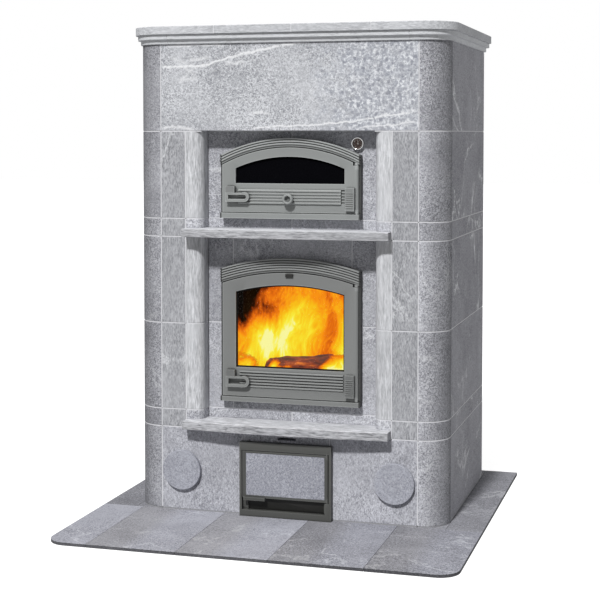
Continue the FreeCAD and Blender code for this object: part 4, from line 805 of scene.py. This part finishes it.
def heat_at(u, v, lobes, level):
    """Heat of the fire at a place on a sheet, with tongues that lean and threads that stretch upwards."""
    lean_u = swirl(u * 2.6, v * 1.9, 1.7)
    lean_v = swirl(u * 2.9, v * 2.4, 9.2)
    bend_u = swirl(u * 7.0, v * 4.0, 3.1)
    bend_v = swirl(u * 6.0, v * 4.5, 8.8)
    place_u = u + 0.07 * lean_u + 0.025 * bend_u
    place_v = v + 0.06 * lean_v + 0.030 * bend_v
    for lobe_u, lobe_v, wide, tall, change in lobes:
        far = ((place_u - lobe_u) / wide) ** 2 + ((place_v - lobe_v) / tall) ** 2
        level += change * math.exp(-far)
    tongue = swirl(u * 5.2 + lean_u * 1.6 + v * 0.7, v * 2.0 + lean_v * 1.1, 4.4)
    strand = 0.4 - 2 * abs(swirl(u * 8 + lean_u * 2.4 + bend_u * 0.5, v * 2.2 + lean_v * 1.4, 2.2))
    thread = swirl(u * 17 + lean_u * 4.0 + bend_u * 1.2, v * 3.6 + lean_v * 2.0 + bend_v * 0.6, 6.3)
    hair = swirl(u * 36 + lean_u * 7.0 + bend_u * 2.6, v * 9.0 + lean_v * 3.5 + bend_v * 2.2, 11.7)
    wisp = swirl(u * 66 + lean_u * 9.0 + hair * 1.4, v * 19 + lean_v * 5.0 + hair * 1.6, 5.9)
    level += 0.24 * tongue + 0.02 * strand + 0.09 * thread + 0.07 * hair + 0.09 * wisp
    return max(0.0, min(1.0, level))


def flame_sheet(name, material, low, high, front, deep, lobes, level, rows, columns=260):
    """An upright sheet of flame that starts and ends by the glass and bends back into the firebox."""
    work = bmesh.new()
    heat_layer = work.verts.layers.float.new("flame_heat")
    grid = []
    for row in range(rows + 1):
        line = []
        for column in range(columns + 1):
            u = column / columns
            v = row / rows
            x = MOUTH_HALF * (2 * u - 1)
            vertex = work.verts.new((x, front + deep * math.sin(math.pi * u), low + (high - low) * v))
            vertex[heat_layer] = heat_at(u, v, lobes, level)
            line.append(vertex)
        grid.append(line)
    skin(work, grid, closed=False)
    piece_from(name, mesh_from(name, work, material, 180), ROOT)


def log(name, start, end, radius, seed, rings=40, around=36):
    """A charred log: a rough tapered bar between two points, with broken ends."""
    axis = Vector(end) - Vector(start)
    turn = axis.to_track_quat("Z", "Y")
    work = bmesh.new()
    bands = []
    for ring in range(rings + 1):
        share = ring / rings
        taper = min(1.0, 0.25 + 6 * min(share, 1 - share))
        band = []
        for step in range(around):
            angle = math.tau * step / around
            rough = swirl(math.cos(angle) * 1.3, math.sin(angle) * 1.3, share * 4 + seed)
            split = swirl(math.cos(angle) * 4, math.sin(angle) * 4, share * 9 + seed)
            reach = radius * taper * (1 + 0.22 * rough + 0.10 * split)
            local = Vector((reach * math.cos(angle), reach * math.sin(angle), 0))
            band.append(work.verts.new(Vector(start) + axis * share + turn @ local))
        bands.append(band)
    skin(work, bands)
    work.faces.new(list(reversed(bands[0])))
    work.faces.new(bands[-1])
    piece_from(name, mesh_from(name, work, EMBERS, 180), ROOT)


FLAMES = fire_material("flames", 0.08, 0.30)
FRONT_FLAMES = fire_material("front_flames", 0.30, 0.50)
EMBERS = ember_material()
flame_sheet("flame_sheet", FLAMES, FLAME_LOW, FLAME_HIGH, -0.098, 0.085, LOBES, 0.62, 220)
flame_sheet("front_flames", FRONT_FLAMES, FLAME_LOW, FRONT_FLAME_HIGH, -0.105, 0.010, FRONT_LOBES, -0.10, 70)
for log_name, (start, end, radius, seed) in LOGS.items():
    log(log_name, start, end, radius, seed)


# pieces that repeat: coals on the grate, marks on the dial, ribs on the hinge blocks

def start_tree(name, inputs):
    """An empty geometry tree with its named inputs, and the two ends of it."""
    tree = bpy.data.node_groups.new(name, "GeometryNodeTree")
    tree.interface.new_socket("Geometry", in_out="INPUT", socket_type="NodeSocketGeometry")
    for label, kind in inputs:
        tree.interface.new_socket(label, in_out="INPUT", socket_type=kind)
    tree.interface.new_socket("Geometry", in_out="OUTPUT", socket_type="NodeSocketGeometry")
    return tree, tree.nodes.new("NodeGroupInput").outputs, tree.nodes.new("NodeGroupOutput").inputs


def finish_tree(tree, instances, material, end):
    """The last steps of each tree: instances made real, then given their material."""
    real = tree.nodes.new("GeometryNodeRealizeInstances")
    link(tree, instances, real.inputs[0])
    paint = tree.nodes.new("GeometryNodeSetMaterial")
    paint.inputs["Material"].default_value = material
    link(tree, real.outputs[0], paint.inputs["Geometry"])
    link(tree, paint.outputs[0], end["Geometry"])


def coal_tree():
    """Lumps of coal strewn over a bed."""
    tree, given, end = start_tree("coal_bed", [("Density", "NodeSocketFloat"), ("Size", "NodeSocketFloat"),
                                               ("Seed", "NodeSocketInt")])
    strew = tree.nodes.new("GeometryNodeDistributePointsOnFaces")
    link(tree, given["Geometry"], strew.inputs["Mesh"])
    link(tree, given["Density"], strew.inputs["Density"])
    link(tree, given["Seed"], strew.inputs["Seed"])
    ball = add(tree, "GeometryNodeMeshIcoSphere", Radius=1.0, Subdivisions=3)
    dent = add(tree, "ShaderNodeTexNoise", Scale=1.3, Detail=3)
    push = add(tree, "ShaderNodeVectorMath", operation="MULTIPLY_ADD")
    link(tree, dent.outputs["Color"], push.inputs[0])
    push.inputs[1].default_value = (1.5, 1.5, 1.1)
    push.inputs[2].default_value = (-0.75, -0.75, -0.55)
    lump = tree.nodes.new("GeometryNodeSetPosition")
    link(tree, ball.outputs["Mesh"], lump.inputs["Geometry"])
    link(tree, push.outputs[0], lump.inputs["Offset"])
    turn = add(tree, "FunctionNodeRandomValue", data_type="FLOAT_VECTOR")
    turn.inputs[1].default_value = (math.tau, math.tau, math.tau)
    link(tree, given["Seed"], turn.inputs["Seed"])
    share = add(tree, "FunctionNodeRandomValue", data_type="FLOAT")
    share.inputs[2].default_value = 0.6
    share.inputs[3].default_value = 1.3
    place = tree.nodes.new("GeometryNodeInstanceOnPoints")
    link(tree, strew.outputs["Points"], place.inputs["Points"])
    link(tree, lump.outputs[0], place.inputs["Instance"])
    link(tree, turn.outputs[0], place.inputs["Rotation"])
    link(tree, math_node(tree, "MULTIPLY", share.outputs[1], given["Size"]), place.inputs["Scale"])
    finish_tree(tree, place.outputs[0], EMBERS, end)
    return tree


def row_tree(name, material):
    """A row of small bars that step along and turn about the Y axis from one to the next."""
    tree, given, end = start_tree(name, [("Count", "NodeSocketInt"), ("Step", "NodeSocketVector"),
                                         ("Turn", "NodeSocketFloat"), ("Begin", "NodeSocketFloat")])
    line = add(tree, "GeometryNodeMeshLine")
    link(tree, given["Count"], line.inputs["Count"])
    link(tree, given["Step"], line.inputs["Offset"])
    index = tree.nodes.new("GeometryNodeInputIndex").outputs[0]
    angle = math_node(tree, "MULTIPLY_ADD", index, given["Turn"], given["Begin"])
    spin = tree.nodes.new("ShaderNodeCombineXYZ")
    link(tree, angle, spin.inputs["Y"])
    place = tree.nodes.new("GeometryNodeInstanceOnPoints")
    link(tree, line.outputs["Mesh"], place.inputs["Points"])
    link(tree, given["Geometry"], place.inputs["Instance"])
    link(tree, spin.outputs[0], place.inputs["Rotation"])
    finish_tree(tree, place.outputs[0], material, end)
    return tree


def grown(name, mesh, tree, values, centre, body):
    """A finished piece from a start mesh and a geometry tree, moved to its centre as plain mesh."""
    start = bpy.data.objects.new(name + "_start", mesh)
    bpy.context.scene.collection.objects.link(start)
    modifier = start.modifiers.new("grow", "NODES")
    modifier.node_group = tree
    for item in tree.interface.items_tree:
        if item.item_type == "SOCKET" and item.in_out == "INPUT" and item.name in values:
            modifier[item.identifier] = values[item.name]
    bpy.context.view_layer.update()
    depsgraph = bpy.context.evaluated_depsgraph_get()
    made = bpy.data.meshes.new_from_object(start.evaluated_get(depsgraph), depsgraph=depsgraph)
    bpy.data.objects.remove(start)
    piece_from(name, moved(made, centre), body)


def bed_mesh():
    """The mound that the coals lie on, from the firebox floor up."""
    work = bmesh.new()
    bmesh.ops.create_grid(work, x_segments=24, y_segments=20, size=0.5)
    for vertex in work.verts:
        x, y = vertex.co.x * 2, vertex.co.y * 2
        heap = 0.045 * (1 - x * x) * (1 - 0.5 * y * y)
        vertex.co = (x * 0.155, 0.085 + y * 0.125, 0.362 + heap)
    return mesh_from("coal_mound", work)


def block_ribs(leaf_name, paint):
    """Fine ribs across the hinge block of a door."""
    low, high = front_flat(leaf_name)
    lowest = ((low.x + high.x) / 2, low.y - 0.0006, low.z + 0.16 * (high.z - low.z))
    rib = bar_mesh(leaf_name + "_rib", (high.x - low.x) * 0.86, 0.0024, 0.0024, round_by=0.0006)
    row = {"Count": 8, "Step": (0, 0, 0.0062), "Turn": 0.0, "Begin": 0.0}
    grown(leaf_name + "_ribs", rib, row_tree(leaf_name + "_row", paint), row, lowest, body_of(leaf_name))


DIAL_CENTRE = ((DIAL_LOW[0] + DIAL_HIGH[0]) / 2, DIAL_HIGH[1] - 0.00108, (DIAL_LOW[2] + DIAL_HIGH[2]) / 2)
DIAL_ROW = {"Count": 11, "Step": (0, 0, 0), "Turn": math.radians(27), "Begin": math.radians(-135)}
grown("coals", bed_mesh(), coal_tree(), {"Density": 2600.0, "Size": 0.016, "Seed": 7}, (0, 0, 0), ROOT)
grown("dial_marks", bar_mesh("dial_mark", 0.0010, 0.0001, 0.0036, 0.0125), row_tree("dial_row", DIAL_MARK),
      DIAL_ROW, DIAL_CENTRE, ROOT)
block_ribs("oven_door_leaf", GREY_BLOCK)
block_ribs("fire_door_leaf", FIRE_BLOCK)


# single pieces: air knob, hinge pins and their collars, top rib, print on the fire glass

# the knob's outline, as shares of its radius and of its depth from the front
KNOB_OUTLINE = (
    (0.02, 0.55), (0.40, 0.54), (0.50, 0.40), (0.54, 0.14), (0.60, 0.03), (0.70, 0.0), (0.82, 0.02),
    (0.95, 0.12), (1.0, 0.26), (0.97, 0.42), (0.82, 0.52), (0.68, 0.58), (0.64, 0.75), (0.64, 1.0),
)
# hinge pins: share of the bore that they fill, least length of an upper pin, length hidden at each end
PIN_FILL = 0.96
UPPER_PIN_TALL = 0.030
PIN_HIDDEN = 0.0123
# radii of a pin's collar, and the height of its rounded rims and of half its groove
COLLAR_BORE = 0.0036
COLLAR_END = 0.0060
COLLAR_GROOVE = 0.0062
COLLAR_RADIUS = 0.0067
COLLAR_RIM = 0.0007
GROOVE_HALF = 0.0005


def air_knob():
    radius = (KNOB_HIGH[0] - KNOB_LOW[0]) / 2
    centre = ((KNOB_LOW[0] + KNOB_HIGH[0]) / 2, (KNOB_LOW[2] + KNOB_HIGH[2]) / 2)
    depth = KNOB_HIGH[1] - KNOB_LOW[1]
    profile = [(out * radius, KNOB_LOW[1] + back * depth) for out, back in KNOB_OUTLINE]
    mesh = turned("oven_air_knob_look", GREY_PAINT, centre, profile)
    piece_from("oven_air_knob_look", mesh, body_of("oven_air_knob"), "oven_air_knob")


def hinge_pins():
    """Pins with running room in their barrels. Gives the middle and the bare ends of each upper pin."""
    work = merged_mesh("hinge_pins")
    bare = []
    for pin in islands(work):
        corners = [vertex.co.copy() for vertex in pin]
        low = Vector([min(corner[axis] for corner in corners) for axis in range(3)])
        high = Vector([max(corner[axis] for corner in corners) for axis in range(3)])
        middle = (low + high) / 2
        if high.z - low.z > UPPER_PIN_TALL:
            bare.append((middle, low.z + PIN_HIDDEN, high.z - PIN_HIDDEN))
        for vertex in pin:
            vertex.co.xy = middle.xy + PIN_FILL * (vertex.co.xy - middle.xy)
    piece_from("hinge_pins_look", mesh_from("hinge_pins_look", work, STEEL, 40), ROOT, "hinge_pins")
    return sorted(bare, key=lambda pin: pin[1])


def pin_collar(name, paint, middle, bottom, top):
    """A collar with a groove round its waist, over the bare length of an upper pin."""
    waist = (bottom + top) / 2
    profile = (
        (COLLAR_BORE, bottom), (COLLAR_END, bottom), (COLLAR_RADIUS, bottom + COLLAR_RIM),
        (COLLAR_RADIUS, waist - GROOVE_HALF), (COLLAR_GROOVE, waist), (COLLAR_RADIUS, waist + GROOVE_HALF),
        (COLLAR_RADIUS, top - COLLAR_RIM), (COLLAR_END, top), (COLLAR_BORE, top),
    )
    piece_from(name, turned(name, paint, (middle.x, middle.y), profile, upright=True), ROOT)


def top_rib():
    """One more rib under the fire window."""
    mesh = bar_mesh("fire_top_rib", 0.330, 0.0045, 0.005, round_by=0.0007)
    mesh.materials.append(FIRE_PAINT)
    moved(mesh, (0.005, LEAF_FRONT - 0.00175, WINDOW_LOW - 0.0125))
    piece_from("fire_top_rib", mesh, body_of("fire_door_leaf"))


def window_path(inset, steps=40):
    """Points round the fire window, moved in from its edge."""
    half, radius = WINDOW_HALF - inset, WINDOW_RADIUS - inset
    centre = WINDOW_APEX - WINDOW_RADIUS
    path = [(-half, WINDOW_LOW + inset), (half, WINDOW_LOW + inset)]
    for step in range(steps + 1):
        x = half * (1 - 2 * step / steps)
        path.append((x, centre + math.sqrt(radius * radius - x * x)))
    return path


def glass_print():
    """The black print round the edge of the fire glass."""
    work = bmesh.new()
    rows = []
    for inset, lift in ((-0.003, 0.0), (0.0025, 0.0003), (0.0045, 0.0)):
        rows.append([work.verts.new((x, FIRE_LOW[1] - 0.0001 - lift, z)) for x, z in window_path(inset)])
    skin(work, rows)
    piece_from("fire_glass_print", mesh_from("fire_glass_print", work, BLACK_PRINT), body_of("fire_glass"))


air_knob()
for pin, paint in zip(hinge_pins(), (FIRE_PAINT, GREY_PAINT)):
    pin_collar(paint.name + "_collar", paint, *pin)
top_rib()
glass_print()


# stage: floor, lights and camera

WORLD_LEVEL = 0.18
FLOOR_LEVEL = 0.88
# lamps: kind, place, aim, strength, then the sun's angle or an area's side
LAMPS = {
    "key": ("SUN", (-0.30, -3.65, 3.55), (0, 0, 0), 3.18, math.radians(5)),
    "right": ("AREA", (3.9, 1.7, 1.4), (0.4, 0.2, 0.7), 20, 2.5),
    "top": ("AREA", (-0.2, -0.9, 4.6), (0, -0.3, 0), 60, 3.0),
}
CAMERA_PLACE = (1.2392, -4.3207, 1.1757)
CAMERA_TURN = math.radians(16.0906)
CAMERA_DIP = math.radians(2.6221)


def seen_plainly(tree):
    """1 where the camera sees the background, also through glass or in a shine, and 0 for other light."""
    ray = tree.nodes.new("ShaderNodeLightPath")
    seen = math_node(tree, "ADD", ray.outputs["Is Camera Ray"], ray.outputs["Is Transmission Ray"])
    return math_node(tree, "ADD", seen, ray.outputs["Is Glossy Ray"], clamp=True)


def make_floor():
    work = bmesh.new()
    bmesh.ops.create_grid(work, x_segments=1, y_segments=1, size=30)
    made, tree, shader = new_material("floor")
    set_sockets(shader, {"Base Color": grey(0.4), "Roughness": 1, "Specular IOR Level": 0,
                         "Emission Strength": FLOOR_LEVEL})
    whole = tree.nodes.new("ShaderNodeCombineColor")
    seen = seen_plainly(tree)
    for channel in whole.inputs:
        link(tree, seen, channel)
    link(tree, whole.outputs[0], shader.inputs["Emission Color"])
    floor = bpy.data.objects.new("floor", mesh_from("floor", work, made))
    floor.location = (0, 0, -0.0005)
    bpy.context.scene.collection.objects.link(floor)


def make_world():
    world = bpy.data.worlds.new("world")
    world.use_nodes = True
    tree = world.node_tree
    back = tree.nodes["Background"]
    back.inputs["Color"].default_value = grey(1)
    level = math_node(tree, "MULTIPLY_ADD", seen_plainly(tree), 1.0 - WORLD_LEVEL, WORLD_LEVEL)
    link(tree, level, back.inputs["Strength"])
    bpy.context.scene.world = world


def make_lamp(name, kind, place, aim, strength, size):
    data = bpy.data.lights.new(name, kind)
    data.energy = strength
    if kind == "SUN":
        data.angle = size
    else:
        data.size = size
    lamp = bpy.data.objects.new(name, data)
    lamp.location = place
    lamp.rotation_euler = (Vector(aim) - Vector(place)).to_track_quat("-Z", "Y").to_euler()
    bpy.context.scene.collection.objects.link(lamp)


def make_camera():
    camera = bpy.data.objects.new("camera", bpy.data.cameras.new("camera"))
    camera.location = CAMERA_PLACE
    level = math.cos(CAMERA_DIP)
    aim = Vector((-math.sin(CAMERA_TURN) * level, math.cos(CAMERA_TURN) * level, -math.sin(CAMERA_DIP)))
    camera.rotation_euler = aim.to_track_quat("-Z", "Y").to_euler()
    camera.data.sensor_width = 36
    camera.data.lens = 85.974
    camera.data.shift_y = -0.165
    camera.data.clip_end = 100
    bpy.context.scene.collection.objects.link(camera)
    bpy.context.scene.camera = camera


make_floor()
make_world()
for lamp_name, lamp in LAMPS.items():
    make_lamp(lamp_name, *lamp)
make_camera()
bpy.context.scene.view_settings.view_transform = "Standard"
